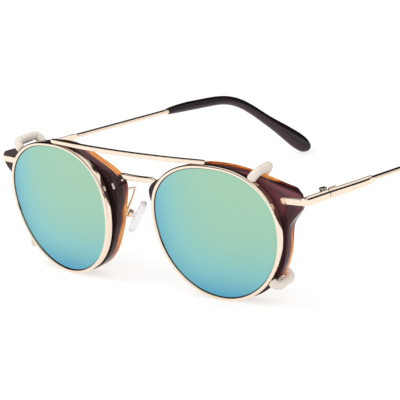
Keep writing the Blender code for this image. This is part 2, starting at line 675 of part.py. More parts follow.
def align(loops):
    """Turn and reverse each loop so that its points follow the loop before it."""
    result = [loops[0]]
    for loop in loops[1:]:
        choices = []
        for order in (loop, loop[::-1]):
            for start in range(len(order)):
                turned_loop = order[start:] + order[:start]
                cost = sum((a - b).length for a, b in zip(result[-1], turned_loop))
                choices.append((cost, start, turned_loop))
        result.append(min(choices, key=lambda choice: choice[0])[2])
    return result


def build_pad(side, label, front, rocker):
    """Pad arm wire and box on the front; pad on its rocking empty; cross screw on the front."""
    up = Vector((PAD_UP[0] * side, PAD_UP[1], PAD_UP[2])).normalized()
    face = Vector((PAD_FACE[0] * side, PAD_FACE[1], PAD_FACE[2]))
    face = (face - up * face.dot(up)).normalized()
    wide = up.cross(face) * side
    centre = Vector((PAD_CENTRE[0] * side, PAD_CENTRE[1], PAD_CENTRE[2]))
    pivot = centre - face * (PAD_HALF_THICK + BOSS_LENGTH * 0.5)

    loops = [oval_loop(centre - face * (PAD_HALF_THICK + BOSS_LENGTH), wide, up, BOSS_HALF,
                       BOSS_HALF * 1.25, 20, 0.6),
             oval_loop(centre - face * PAD_HALF_THICK, wide, up, BOSS_HALF, BOSS_HALF * 1.25, 20, 0.6)]
    for depth, size in ((-1.0, 0.82), (-0.45, 0.98), (0.2, 1.0), (0.75, 0.86), (1.0, 0.6)):
        loops.append(oval_loop(centre + face * PAD_HALF_THICK * depth, wide, up,
                               PAD_HALF_WIDTH * size, PAD_HALF_LENGTH * size, 20))
    pad = loft("nose_pad_" + label, loops, rocker, "silicone")
    bore = turned("pad_bore_" + label, pivot - wide * 4, wide,
                  ((0, PAD_SCREW_BORE), (8, PAD_SCREW_BORE)), front, None, 12)
    cut(pad, bore)

    pivot_height = BOX_WALL + BOX_CLEARANCE + BOSS_LENGTH * 0.5
    base = pivot - face * pivot_height
    inside = BOX_HALF_WIDTH - BOX_WALL
    depth = pivot_height + PAD_SCREW_BORE + BOX_LIP
    profile = ((-BOX_HALF_WIDTH, 0), (BOX_HALF_WIDTH, 0), (BOX_HALF_WIDTH, depth),
               (inside, depth), (inside, BOX_WALL), (-inside, BOX_WALL), (-inside, depth),
               (-BOX_HALF_WIDTH, depth))
    box = loft("pad_box_" + label,
               [[base + wide * w + face * n + up * (BOX_HALF_LENGTH * end) for w, n in profile]
                for end in (-1, 1)], front, "gold")
    cut(box, bore)
    head = PAD_SCREW_HEAD_LENGTH
    turned("pad_screw_" + label, pivot - wide * (BOX_HALF_WIDTH + head + WIRE_BUTT), wide,
           ((0, PAD_SCREW_HEAD * 0.8), (head * 0.3, PAD_SCREW_HEAD), (head, PAD_SCREW_HEAD),
            (head + 0.01, PAD_SCREW_RADIUS),
            (head + WIRE_BUTT + 2 * BOX_HALF_WIDTH, PAD_SCREW_RADIUS)), front, "steel", 12)

    hole = rim_point(side, PAD_HOLE_U, PAD_HOLE_V, RIM_BACK_D - WIRE_IN_RIM)
    mouth = rim_point(side, PAD_HOLE_U, PAD_HOLE_V, RIM_BACK_D + 0.8)
    end = base - face * WIRE_BUTT
    lead = end - face * WIRE_LEAD
    bows = [Vector((side * x, mouth.y + y, mouth.z + z)) for x, y, z in PAD_ARM_BOW]
    path = [hole, mouth, *bows, lead + up * 0.8, lead, end]
    loft("pad_arm_" + label, tube_loops(path, [ARM_WIRE] * len(path), Vector((side, 0.2, 0.1))),
         front, "gold")


def pad_pivot(side):
    up = Vector((PAD_UP[0] * side, PAD_UP[1], PAD_UP[2])).normalized()
    face = Vector((PAD_FACE[0] * side, PAD_FACE[1], PAD_FACE[2]))
    face = (face - up * face.dot(up)).normalized()
    centre = Vector((PAD_CENTRE[0] * side, PAD_CENTRE[1], PAD_CENTRE[2]))
    return centre - face * (PAD_HALF_THICK + BOSS_LENGTH * 0.5), up.cross(face)


def set_down(root):
    """Lean the object until lens side and tips both touch the floor, and centre it."""
    def corners():
        bpy.context.view_layer.update()
        return [piece.matrix_world @ vertex.co
                for piece in bpy.data.objects if piece.type == "MESH" and not piece.hide_render
                for vertex in piece.data.vertices]
    for _ in range(6):
        points = corners()
        low_front = min((point for point in points if point.y < 0.06), key=lambda point: point.z)
        low_back = min((point for point in points if point.y > 0.10), key=lambda point: point.z)
        lean = math.atan2(low_front.z - low_back.z, low_back.y - low_front.y)
        root.rotation_euler.x += lean
    points = corners()
    middle = [(min(p[axis] for p in points) + max(p[axis] for p in points)) / 2 for axis in (0, 1)]
    root.location = (-middle[0], -middle[1], -min(point.z for point in points))
    bpy.context.view_layer.update()


for existing in list(bpy.data.objects):
    bpy.data.objects.remove(existing)
OUTLINE = rim_outline()
root_empty = add_empty("glasses", None)
front_empty = add_empty("optical_front", root_empty)
clip_empty = add_empty("sun_clip", root_empty)
for side_label, side_sign in SIDES:
    build_clip_side(side_sign, side_label, clip_empty)
    hole_cutter = build_rim(side_sign, side_label, front_empty)
    build_endpiece(side_sign, side_label, front_empty, hole_cutter)
    hinge_empty = add_empty("temple_axis_" + side_label, root_empty,
                            (side_sign * AXIS_X, AXIS_Y, HINGE_Z))
    build_hinge_and_temple(side_sign, side_label, front_empty, hinge_empty)
    pad_place, pad_direction = pad_pivot(side_sign)
    pad_empty = add_empty("pad_axis_" + side_label, root_empty, pad_place)
    build_pad(side_sign, side_label, front_empty, pad_empty)
build_bridge(front_empty)
build_bar(clip_empty)
set_down(root_empty)
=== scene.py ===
"""Round glasses with a clip-on sun lens: the looks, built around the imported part."""
import math

import bmesh
import bpy
from mathutils import Matrix, Vector


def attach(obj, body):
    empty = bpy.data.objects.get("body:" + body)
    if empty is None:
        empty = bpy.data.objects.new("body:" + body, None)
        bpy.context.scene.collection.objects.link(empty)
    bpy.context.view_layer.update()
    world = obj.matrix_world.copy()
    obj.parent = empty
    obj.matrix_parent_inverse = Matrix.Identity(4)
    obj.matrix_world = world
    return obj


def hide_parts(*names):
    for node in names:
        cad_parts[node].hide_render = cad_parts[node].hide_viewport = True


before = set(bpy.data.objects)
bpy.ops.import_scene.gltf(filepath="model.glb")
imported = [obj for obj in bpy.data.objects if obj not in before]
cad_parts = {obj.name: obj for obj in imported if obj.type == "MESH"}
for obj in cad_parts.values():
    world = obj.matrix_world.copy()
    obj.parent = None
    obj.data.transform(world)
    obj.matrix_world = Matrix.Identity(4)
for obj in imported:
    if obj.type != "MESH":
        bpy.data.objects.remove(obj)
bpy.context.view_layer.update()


# How the glasses stand
# The pieces are drawn in millimetres on the upright front: X to the wearer's left, Y back, Z up.
# The glasses rest on the lower edges of the clip and on both tips, which leans the front back.
LEAN = math.radians(5.0529)
STAND = Vector((0, -0.081358, 0.023797))
STANDING = Matrix.Translation(STAND) @ Matrix.Rotation(LEAN, 4, "X")
SIDES = (("left", 1), ("right", -1))


def stand(point):
    """Metres in the row frame for millimetres on the upright front."""
    return STANDING @ (Vector(point) * 0.001)


# Clip: the two eyewires
# Each eyewire is a rolled wire of nickel silver with a groove inside that grips the lens, closed
# and soldered at the brow bar, polished and plated in pale rose gold. It narrows to the back.
EYEWIRE_FACE = 1.35
EYEWIRE_DEPTH = 2.55
EYEWIRE_TAPER = 0.35
LIP = 0.12
GROOVE_FRONT_D = 0.45
GROOVE_BACK_D = 2.35
GROOVE_DEPTH = 0.62
LENS_CENTRE_X = 34.53
FACE_WRAP = math.radians(6.4)
TURN_STEPS = 300
SHARP_FROM = math.radians(40)
TURN = [index * 360 / TURN_STEPS for index in range(TURN_STEPS)]


def lens_radius(angle):
    """Radius of the sun lens at an angle in degrees, counted from the outer side upward."""
    radius = 22.57
    for height, centre, spread in ((1.36, 23, 28), (1.83, 149, 28), (-1.50, 87, 27)):
        offset = (angle - centre + 180) % 360 - 180
        radius += height * math.exp(-(offset / spread) ** 2)
    return radius


def on_rim(side, u, v, d):
    """Point of the upright front for a place on one rim: u outward, v up, d back."""
    return Vector((side * (LENS_CENTRE_X + math.cos(FACE_WRAP) * u - math.sin(FACE_WRAP) * d),
                   math.sin(FACE_WRAP) * u + math.cos(FACE_WRAP) * d, v))


def toward(side, u, v, d):
    """Direction of the upright front for a direction on one rim."""
    return on_rim(side, u, v, d) - on_rim(side, 0, 0, 0)


def polar(radius, angle):
    return radius * math.cos(math.radians(angle)), radius * math.sin(math.radians(angle))


def rounded(corners, steps=5):
    """Closed outline through (x, y, radius) corners, each turned by an arc."""
    outline = []
    for index, (x, y, radius) in enumerate(corners):
        here = Vector((x, y))
        before = (Vector(corners[index - 1][:2]) - here).normalized()
        after = (Vector(corners[(index + 1) % len(corners)][:2]) - here).normalized()
        if radius <= 0:
            outline.append((x, y))
            continue
        half = before.angle(after) / 2
        middle = here + (before + after).normalized() * (radius / math.sin(half))
        start = here + before * (radius / math.tan(half)) - middle
        finish = here + after * (radius / math.tan(half)) - middle
        for step in range(steps + 1):
            place = middle + start.slerp(finish, step / steps).normalized() * radius
            outline.append((place.x, place.y))
    return outline


def placed(name, data):
    """Object of the scene that shows a mesh, a lamp or a camera."""
    made = bpy.data.objects.new(name, data)
    bpy.context.scene.collection.objects.link(made)
    return made


def skin(name, rows, joined=False, grain=None, tone=None):
    """Mesh object from rows of points on the upright front, each row joined to the next.

    joined also joins the last row to the first, otherwise both ends are closed. grain (three
    numbers) and tone (one number) are rows like the points' rows, for the material to read."""
    mesh = bpy.data.meshes.new(name)
    shape = bmesh.new()
    grid = [[shape.verts.new(stand(point)) for point in row] for row in rows]
    count = len(rows[0])
    for index in range(len(grid) if joined else len(grid) - 1):
        here = grid[index]
        there = grid[(index + 1) % len(grid)]
        for step in range(count):
            after = (step + 1) % count
            shape.faces.new((here[step], here[after], there[after], there[step]))
    if not joined:
        shape.faces.new(grid[0])
        shape.faces.new(grid[-1])
    bmesh.ops.recalc_face_normals(shape, faces=shape.faces)
    shape.to_mesh(mesh)
    shape.free()
    if grain:
        marks = mesh.attributes.new("grain", "FLOAT_VECTOR", "POINT")
        marks.data.foreach_set("vector", [number for row in grain for mark in row
                                          for number in mark])
        shades = mesh.attributes.new("tone", "FLOAT", "POINT")
        shades.data.foreach_set("value", [number for row in tone for number in row])
    return placed(name, mesh)


def carve(target, *tools, operation="DIFFERENCE"):
    """Cuts tools out of target, or joins them to it, and throws them away."""
    for tool in tools:
        modifier = target.modifiers.new(tool.name, "BOOLEAN")
        modifier.operation = operation
        modifier.solver = "EXACT"
        modifier.object = tool
    bpy.context.view_layer.update()
    shaped = target.evaluated_get(bpy.context.evaluated_depsgraph_get())
    mesh = bpy.data.meshes.new_from_object(shaped)
    target.modifiers.clear()
    target.data = mesh
    for tool in tools:
        bpy.data.objects.remove(tool)


def fit(made, body, slot, solid, *finishes):
    """Gives a piece its finishes and smooth faces, and its body, in place of the plain solid."""
    for finish in finishes:
        made.data.materials.append(finish)
    for face in made.data.polygons:
        face.use_smooth = True
    made.data.set_sharp_from_angle(angle=SHARP_FROM)
    made.modifiers.new("flat faces stay flat", "WEIGHTED_NORMAL").keep_sharp = True
    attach(made, body)
    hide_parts(solid)
    return made


def colour(code):
    """Linear colour of an sRGB hex value."""
    parts = [int(code[index:index + 2], 16) / 255 for index in (1, 3, 5)]
    return (*[part / 12.92 if part <= 0.04045 else ((part + 0.055) / 1.055) ** 2.4
              for part in parts], 1)


def material(name, **values):
    """Material whose shader has these plain values on its own sockets."""
    made = bpy.data.materials.new(name)
    made.use_nodes = True
    shader = made.node_tree.nodes["Principled BSDF"]
    for socket, value in values.items():
        shader.inputs[socket.replace("_", " ")].default_value = value
    return made


def node(made, kind, inputs, **settings):
    """Adds a node to a material or the world, with values or links for the sockets in inputs."""
    tree = made.node_tree
    added = tree.nodes.new("ShaderNode" + kind)
    for name, value in settings.items():
        setattr(added, name, value)
    for name, value in inputs.items():
        if isinstance(value, bpy.types.NodeSocket):
            tree.links.new(value, added.inputs[name])
        else:
            added.inputs[name].default_value = value
    return added


def feed(made, socket, source):
    """Links a node's output to a socket of the material's shader."""
    shader = made.node_tree.nodes["Principled BSDF"]
    made.node_tree.links.new(source, shader.inputs[socket])


def clouded(made, size, first, second, **settings):
    """Clouds the material between two colours, in patches so many mm wide; returns the clouds."""
    place = node(made, "TexCoord", {}).outputs["Object"]
    patches = node(made, "TexNoise", {
        "Vector": place, "Scale": 1000 / size, **settings}).outputs["Fac"]
    feed(made, "Base Color", node(made, "Mix", {
        0: patches, 6: colour(first), 7: colour(second)}, data_type="RGBA").outputs[2])
    return patches


def rippled(made, size, strength, height, **settings):
    """Gives the surface ripples so many mm wide, and so high in metres."""
    place = node(made, "TexCoord", {}).outputs["Object"]
    ripples = node(made, "TexNoise", {
        "Vector": place, "Scale": 1000 / size, **settings}).outputs["Fac"]
    feed(made, "Normal", node(made, "Bump", {
        "Height": ripples, "Strength": strength, "Distance": height}).outputs["Normal"])


# Polished rose gold plate: a bright, warm metal with only the polishing wheel's fine haze.
rose_gold = material("rose_gold_plate", Metallic=1.0, Roughness=0.12)
haze = clouded(rose_gold, 2.38, "#FCEAD8", "#F8E2CE", Detail=3.0)
feed(rose_gold, "Roughness", node(rose_gold, "MapRange", {
    "Value": haze, "From Min": 0.35, "From Max": 0.65,
    "To Min": 0.09, "To Max": 0.16}).outputs[0])
# Polishing marks are under 0.05 mm; they are drawn 0.4 mm apart to show at all.
rippled(rose_gold, 0.4, 0.005, 0.0001, Detail=2.0)

EYEWIRE_SECTION = rounded((
    (LIP, 0, 0.2), (EYEWIRE_FACE, 0, 0.45),
    (EYEWIRE_FACE - EYEWIRE_TAPER * 0.5, EYEWIRE_DEPTH * 0.5, 0),
    (EYEWIRE_FACE - EYEWIRE_TAPER, EYEWIRE_DEPTH, 0.4), (0, EYEWIRE_DEPTH, 0.15),
    (0, GROOVE_BACK_D, 0), (GROOVE_DEPTH, GROOVE_BACK_D, 0),
    (GROOVE_DEPTH, GROOVE_FRONT_D, 0), (LIP, GROOVE_FRONT_D, 0)), steps=5)
for label, side in SIDES:
    rows = [[on_rim(side, *polar(lens_radius(angle) + offset, angle), d) for angle in TURN]
            for offset, d in EYEWIRE_SECTION]
    fit(skin("eyewire_" + label, rows, joined=True), "clip", "pale gold",
        "clip_ring_" + label, rose_gold)


# Clip: the two sun lenses
# Each sun lens is cut from smoke-grey nylon and vacuum-coated on the front with a green to blue
# mirror. The bevelled edge that sits in the groove is uncoated and looks black. The coat also stops
# 0.15 mm short of the edge on the front, and that near-black strip is painted shade of the groove.
LENS_EDGE = 0.5
LENS_FRONT_D = 0.52
LENS_BACK_D = 2.30
LENS_DOME = 0.45
GROOVE_SHADE_STRIP = 0.15
COAT_STEP = 0.02
LENS_SHARES = (0.02, 0.1, 0.2, 0.3, 0.4, 0.5, 0.6, 0.7, 0.8, 0.88, 0.94)

# Mirror coat: metal oxides laid on in vacuum, so the lens mirrors the room in green and blue. The
# coat is thinner towards the lower edge and the wearer's right: green turns to blue there, fast
# at the edge itself, so each part of the fall is a power of the place across the lens.
THIN_BELOW = (0.005, 1.15)
THIN_SIDEWAYS = (0.0016, 0.85)
DRIFT_SIZE = 16.7
DRIFT = 0.04
mirror_coat = material("mirror_coated_nylon", Metallic=1.0, Roughness=0.10)
place = node(mirror_coat, "TexCoord", {})
across = node(mirror_coat, "SeparateXYZ", {"Vector": place.outputs["Generated"]})
drift = node(mirror_coat, "TexNoise", {
    "Vector": place.outputs["Object"], "Scale": 1000 / DRIFT_SIZE}).outputs["Fac"]
thin = node(mirror_coat, "Math", {0: drift, 1: DRIFT}, operation="MULTIPLY").outputs[0]
for (base, weight), axis in ((THIN_BELOW, "Z"), (THIN_SIDEWAYS, "X")):
    fall = node(mirror_coat, "Math", {0: base, 1: across.outputs[axis]}, operation="POWER")
    thin = node(mirror_coat, "Math", {
        0: fall.outputs[0], 1: weight, 2: thin}, operation="MULTIPLY_ADD").outputs[0]
shade = colour("#A3CBAE")
for start, end, code in ((0.0, 0.4, "#8BC5C5"), (0.4, 1.1, "#58A4C4")):
    share = node(mirror_coat, "MapRange", {"Value": thin, "From Min": start, "From Max": end})
    shade = node(mirror_coat, "Mix", {
        0: share.outputs[0], 6: shade, 7: colour(code)}, data_type="RGBA").outputs[2]
feed(mirror_coat, "Base Color", shade)

# Smoke nylon: cut and left uncoated at the back and the edge, nearly black, with a soft gloss.
smoke_nylon = material("smoke_nylon", Roughness=0.12, IOR=1.53)
clouded(smoke_nylon, 11.1, "#1C1917", "#2A2522")

for label, side in SIDES:
    front, back = [[[on_rim(side, *polar(share * lens_radius(angle), angle),
                            d - LENS_DOME * (1 - share ** 2)) for angle in TURN]
                    for share in LENS_SHARES] for d in (LENS_FRONT_D, LENS_BACK_D)]
    # The first two edge rows bound the near-black strip on the front just inside the eyewire:
    # painted shade of the groove.
    edge = [[on_rim(side, *polar(lens_radius(angle) + offset, angle), d) for angle in TURN]
            for offset, d in ((-GROOVE_SHADE_STRIP, LENS_FRONT_D - COAT_STEP),
                              (-GROOVE_SHADE_STRIP + COAT_STEP, LENS_FRONT_D), (LENS_EDGE, LENS_FRONT_D),
                              (LENS_EDGE, LENS_BACK_D), (0, LENS_BACK_D))]
    rows = front + edge + back[::-1]
    lens = fit(skin("sun_lens_" + label, rows), "clip", "mirrored lens",
               "clip_lens_" + label, mirror_coat, smoke_nylon)
    # The coat covers the front strips up to its own edge, and the small face in their middle.
    front_cap = (len(rows) - 1) * TURN_STEPS
    for index, face in enumerate(lens.data.polygons):
        if index >= len(front) * TURN_STEPS and index != front_cap:
            face.material_index = 1


# Clip: the brow bar
# The brow bar is a length of drawn square wire, bowed like the front of the glasses and soldered
# on top of the two eyewires. It is plated together with them.
BAR_HALF_DEPTH = 0.65
BAR_CORNERS = (0.3, 0.2, 0.15, 0.3)
# Each place along the bar is (x, y, z, half height); the other half mirrors it.
BAR_PLACES = ((4.0, -1.38, 23.20, 0.80), (11.0, -1.20, 23.20, 0.80), (18.0, -0.86, 23.22, 0.78),
              (24.0, -0.44, 23.26, 0.74), (28.5, -0.06, 23.30, 0.70), (31.5, 0.24, 23.30, 0.69),
              (33.8, 0.50, 23.30, 0.65))


def along(points, steps):
    """Smooth run through points, each a tuple or vector of numbers, with steps between two."""
    ends = [2 * Vector(points[0]) - Vector(points[1]), *map(Vector, points),
            2 * Vector(points[-1]) - Vector(points[-2])]
    run = []
    for a, b, c, d in zip(ends, ends[1:], ends[2:], ends[3:]):
        for step in range(steps):
            t = step / steps
            run.append(b + ((c - a) * t + (2 * a - 5 * b + 4 * c - d) * t ** 2
                            + (3 * b - a - 3 * c + d) * t ** 3) * 0.5)
    return run + [Vector(points[-1])]


def section(centre, across, up, half_across, half_up, round_off, steps=4):
    """Rectangular section around a centre, its corners rounded alike or by four radii."""
    radii = [round_off] * 4 if isinstance(round_off, (int, float)) else round_off
    most = 0.99 * min(half_across, half_up)
    signs = ((1, -1), (1, 1), (-1, 1), (-1, -1))
    outline = rounded([(a * half_across, b * half_up, min(radius, most))
                       for (a, b), radius in zip(signs, radii)], steps)
    return [centre + across * a + up * b for a, b in outline]


def capped(rows, shrinks=((0.15, 0.96), (0.35, 0.82), (0.5, 0.6), (0.58, 0.3))):
    """Rows with a small rounded cap added past each end: (distance, share of the size) steps."""
    for end, beside in ((0, 1), (-1, -2)):
        centre = sum(rows[end], Vector()) / len(rows[end])
        away = (centre - sum(rows[beside], Vector()) / len(rows[beside])).normalized()
        edge = rows[end]
        added = [[centre + (point - centre) * share + away * (distance - shrinks[-1][0])
                  for point in edge] for distance, share in shrinks]
        shifted = [point - away * shrinks[-1][0] for point in edge]
        rows = added[::-1] + [shifted] + rows[1:] if end == 0 else rows[:-1] + [shifted] + added
    return rows


places = [(-x, y, z, high) for x, y, z, high in BAR_PLACES[::-1]] + list(BAR_PLACES)
run = along(places, 4)
rows = []
for index, spot in enumerate(run):
    before, after = run[max(index - 1, 0)], run[min(index + 1, len(run) - 1)]
    across = Vector((before[1] - after[1], after[0] - before[0], 0)).normalized()
    rows.append(section(Vector(spot[:3]), across, Vector((0, 0, 1)), BAR_HALF_DEPTH, spot[3],
                        BAR_CORNERS, 6))
fit(skin("brow_bar", capped(rows)), "clip", "pale gold", "clip_bar", rose_gold)


# Clip: claws and their sleeves
# Four claws bent from wire are soldered to the eyewires and hook over the rims from the front.
# Each wears a moulded sleeve of milky silicone, so that it grips and doesn't scratch.
CLAW_ANGLES = {"left": (("upper", 50), ("lower", -41)), "right": (("upper", 44), ("lower", -41))}
CLAW_WIRE = 0.45
CLAW_D = 1.5
CLAW_ROOT = 0.2
CLAW_STRAIGHT = 0.14
CLAW_BEND = 2.1
CLAW_LEAN = 0.05
CLAW_BACK_BEND = 1.7
CLAW_HOOK = 3.2
CLAW_CLEARANCE = 0.3
SLEEVE_RADIUS = 1.5
SLEEVE_BORE = 0.75
SLEEVE_START = 0.16
SLEEVE_END = 0.9
BORE_END = 0.2
# Sleeve's mouth: (distance in mm, share of its radius). Its tip: (share of its end, of its radius).
SLEEVE_MOUTH = ((0, 0.82), (0.06, 0.93), (0.2, 1.0))
SLEEVE_TIP = ((0.35, 0.97), (0.62, 0.88), (0.85, 0.72), (0.97, 0.5), (1.0, 0.25))
RIM_FRONT_D = 4.1
RIM_JOINT_D = 6.0
RIM_BACK_D = 8.7

# Brow and corners of the rim's outline: (outward, up) in mm from the middle of the lens. The lower
# part is an arc about 23.6 mm from there, and 1.1 mm further out on the outer side.
RIM_BROW_AND_CORNERS = (
    (24.9, 0.2), (25.8, 2.9), (28.7, 6.0), (32.2, 9.2), (32.3, 13.3), (29.2, 14.3), (25.3, 15.3),
    (20.8, 16.8), (15.9, 18.3), (11.2, 19.5), (5.5, 20.6), (0.0, 21.0), (-5.5, 20.9), (-11.0, 19.4),
    (-16.5, 17.2), (-21.0, 15.5), (-24.3, 14.0), (-26.9, 12.0), (-27.8, 9.7), (-27.1, 5.8),
    (-25.5, 1.4), (-24.2, -3.4), (-22.2, -7.6),
)
outline = list(RIM_BROW_AND_CORNERS[3:])
for step in range(13):
    angle = -150 + 11.8 * step
    outline.append(polar(23.6 + 1.1 * math.cos(math.radians(angle + 45)), angle))
outline += RIM_BROW_AND_CORNERS[:3]
# Cutting every corner at a quarter of its sides softens the outline. The rims take three rounds,
# and the claws are placed by the first.
RIM_OUTLINES = []
while len(RIM_OUTLINES) < 3:
    outline = [(a * b0 + (1 - a) * b1, a * c0 + (1 - a) * c1)
               for (b0, c0), (b1, c1) in zip(outline, outline[1:] + outline[:1])
               for a in (0.75, 0.25)]
    RIM_OUTLINES.append(outline)
PLAIN_OUTLINE, RIM_OUTLINE = RIM_OUTLINES[0], RIM_OUTLINES[2]


def rim_edge(angle):
    """Largest radius of the rim's plain outline within 7 degrees of an angle."""
    near = [math.hypot(u, v) for u, v in PLAIN_OUTLINE
            if abs((math.degrees(math.atan2(v, u)) - angle + 180) % 360 - 180) < 7]
    return max(near)


def oval(centre, across, up, half_across, half_up, count=20, power=1.0, start=0.0):
    """Oval section of count points, the first at start; a power below one squares it."""
    row = []
    for step in range(count):
        turn = start + math.tau * step / count
        a = math.copysign(abs(math.cos(turn)) ** power, math.cos(turn))
        b = math.copysign(abs(math.sin(turn)) ** power, math.sin(turn))
        row.append(centre + across * (half_across * a) + up * (half_up * b))
    return row


def tube(path, radii, reference, count=20):
    """Round sections along a path, kept square to it."""
    rows = []
    for index, (point, radius) in enumerate(zip(path, radii)):
        tangent = (path[min(index + 1, len(path) - 1)] - path[max(index - 1, 0)]).normalized()
        across = tangent.cross(reference).normalized()
        rows.append(oval(point, across, across.cross(tangent), radius, radius, count))
    return rows


# Milky silicone: soft, slightly cloudy, lets light in; its skin is satin from the mould.
milky_silicone = material("milky_silicone", Roughness=0.3, IOR=1.41, Subsurface_Weight=0.3,
                          Subsurface_Radius=(1.0, 1.0, 1.0), Subsurface_Scale=0.001)
clouded(milky_silicone, 2, "#FFF5E9", "#FFEDDD", Detail=3.0)
rippled(milky_silicone, 2, 0.03, 0.0002, Detail=3.0)

for label, side in SIDES:
    for level, angle in CLAW_ANGLES[label]:
        start = lens_radius(angle) + EYEWIRE_FACE
        lane = max(rim_edge(angle) + CLAW_CLEARANCE + SLEEVE_RADIUS,
                   start + CLAW_STRAIGHT + CLAW_BEND)
        back = RIM_BACK_D + CLAW_CLEARANCE + SLEEVE_RADIUS
        spots = [(start - CLAW_ROOT, CLAW_D), (start + SLEEVE_START, CLAW_D)]
        for turn in range(0, 91, 15):
            spots.append((lane - CLAW_BEND * (1 - math.sin(math.radians(turn))) + CLAW_LEAN,
                          CLAW_D + CLAW_BEND * (1 - math.cos(math.radians(turn)))))
        for turn in range(0, 91, 15):
            spots.append((lane - CLAW_BACK_BEND * (1 - math.cos(math.radians(turn))),
                          back - CLAW_BACK_BEND * (1 - math.sin(math.radians(turn)))))
        spots.append((lane - CLAW_HOOK, back))
        path = [on_rim(side, *polar(radius, angle), d) for radius, d in spots]
        around = toward(side, *polar(1, angle + 90), 0)
        name = level + "_" + label
        fit(skin("claw_wire_" + name, tube(path, [CLAW_WIRE] * len(path), around, 12)), "clip",
            "pale gold", "claw_" + name, rose_gold)
        covered = path[1:]
        ahead = (covered[-1] - covered[-2]).normalized()
        outer, radii = [], []
        for distance, share in SLEEVE_MOUTH:
            outer.append(covered[0] + (covered[1] - covered[0]).normalized() * distance)
            radii.append(SLEEVE_RADIUS * share)
        outer += covered[1:]
        radii += [SLEEVE_RADIUS] * (len(covered) - 1)
        for share, size in SLEEVE_TIP:
            outer.append(covered[-1] + ahead * SLEEVE_END * share)
            radii.append(SLEEVE_RADIUS * size)
        inner = covered + [covered[-1] + ahead * BORE_END]
        rows = tube(inner, [SLEEVE_BORE] * len(inner), around)[::-1] + tube(outer, radii, around)
        fit(skin("sleeve_" + name, rows), "clip", "silicone sleeve",
            "claw_sleeve_" + name, milky_silicone)


# Rims
# Each rim is cut from two sheets of cellulose acetate laminated together, dark brown in front
# and amber tortoise behind. Milling leaves crisp edges, which barrel polishing then softens.
RIM_WALL = 2.2
RIM_ROUND = 0.4
BACK_ROUND = 0.8
REBATE_DEPTH = 0.9
REBATE_D = 7.65
MITRE_JOINT_U = 31.9
MITRE_BACK_U = 28.0
LIMIT_SOFTNESS = 1.2
SEAM = 0.02
GRAIN_RADIUS = 24
# How far back in its block each hidden wall lies for the streaks, in millimetres.
FRONT_WALL_GRAIN = -3.0
BACK_WALL_GRAIN = 4.7
REBATE_GRAIN = 1.6


def outer_row(side, inset, limit, d):
    """The rim's outline at a depth, held back softly where it would pass a limit outward."""
    row = []
    for u, v in RIM_OUTLINE:
        scale = 1 - inset / math.hypot(u, v)
        past = max(u * scale - limit + LIMIT_SOFTNESS, 0)
        held = u * scale - past + LIMIT_SOFTNESS * (1 - math.exp(-past / LIMIT_SOFTNESS))
        row.append(on_rim(side, held, v * scale, d))
    return row


def inner_row(side, offset, d, share=1.0):
    """The rim's inner outline at a depth, moved outward by an offset, or a share of its size."""
    row = []
    for u, v in RIM_OUTLINE:
        angle = math.degrees(math.atan2(v, u))
        row.append(on_rim(side, *polar(share * (lens_radius(angle) - RIM_WALL + offset), angle), d))
    return row


# The sheets are cut from one block each, so their streaks run on round the rim. These tables say
# how dark the sheet is coloured at some angles (0 its lightest colour, 1 its darkest) at the front
# and at the back of the sheet; the place between is shared out evenly. In the dark sheet's table
# the near-black nose sides of both rims and the dark top wall by the left rim's outer corner are
# painted shade and painted dark reflection, laid over the block's own maroon and black streaks.
DARK_TONES_AND_SHADE = {
    "left": ((-180, 0.7, 0.7), (-110, 0.4, 0.3), (-60, 0.45, 0.3), (5, 0.45, 0.4), (15, 0.3, 0.5),
             (25, 0.1, 0.9), (48, 0.0, 0.8), (60, 0.2, 0.3), (100, 0.3, 0.3), (130, 0.7, 0.8),
             (180, 0.7, 0.7)),
    "right": ((-180, 0.95, 0.3), (-110, 0.9, 0.3), (-60, 0.4, 0.5), (5, 0.4, 0.4), (18, 0.8, 0.8),
              (60, 0.6, 0.8), (110, 0.35, 0.5), (142, 0.25, 0.3), (153, 0.7, 0.7), (164, 1.0, 0.8),
              (180, 0.95, 0.35)),
}
AMBER_TONES = {
    "left": ((-180, 0.5, 0.3), (-100, 0.6, 0.5), (-45, 0.35, 0.15), (-25, 0.35, 0.15),
             (-8, 0.35, 0.75), (3, 0.45, 0.95), (10, 1.0, 1.0), (35, 1.0, 1.0), (39, 0.35, 0.1),
             (50, 0.3, 0.0), (58, 0.7, 0.35), (75, 0.6, 0.25), (100, 0.6, 0.2), (130, 0.5, 0.3),
             (180, 0.5, 0.3)),
    "right": ((-180, 0.42, -0.15), (-130, 0.5, 0.0), (-95, 0.75, 0.5), (-40, 0.7, 0.4),
              (0, 0.8, 0.6), (18, 1.0, 1.0), (104, 1.0, 1.0), (114, 0.7, 0.4), (124, 0.45, 0.05),
              (152, 0.42, 0.1), (156, 1.0, 0.9), (162, 0.8, 0.6), (172, 0.7, 0.4), (176, 0.5, 0.0),
              (180, 0.42, -0.15)),
}


def grain_row(d):
    """What the streaks follow: the place round the rim, and how far back, in millimetres."""
    return [(*polar(GRAIN_RADIUS, math.degrees(math.atan2(v, u))), d) for u, v in RIM_OUTLINE]


def tone_row(tones, share):
    """How dark the sheet is coloured along one row, from the front (share 0) to the back (1)."""
    row = []
    for u, v in RIM_OUTLINE:
        angle = math.degrees(math.atan2(v, u))
        for here, after in zip(tones, tones[1:]):
            if here[0] <= angle <= after[0]:
                part = (angle - here[0]) / (after[0] - here[0])
                front, behind = [a + (b - a) * part for a, b in zip(here[1:], after[1:])]
        row.append(front + (behind - front) * share)
    return row


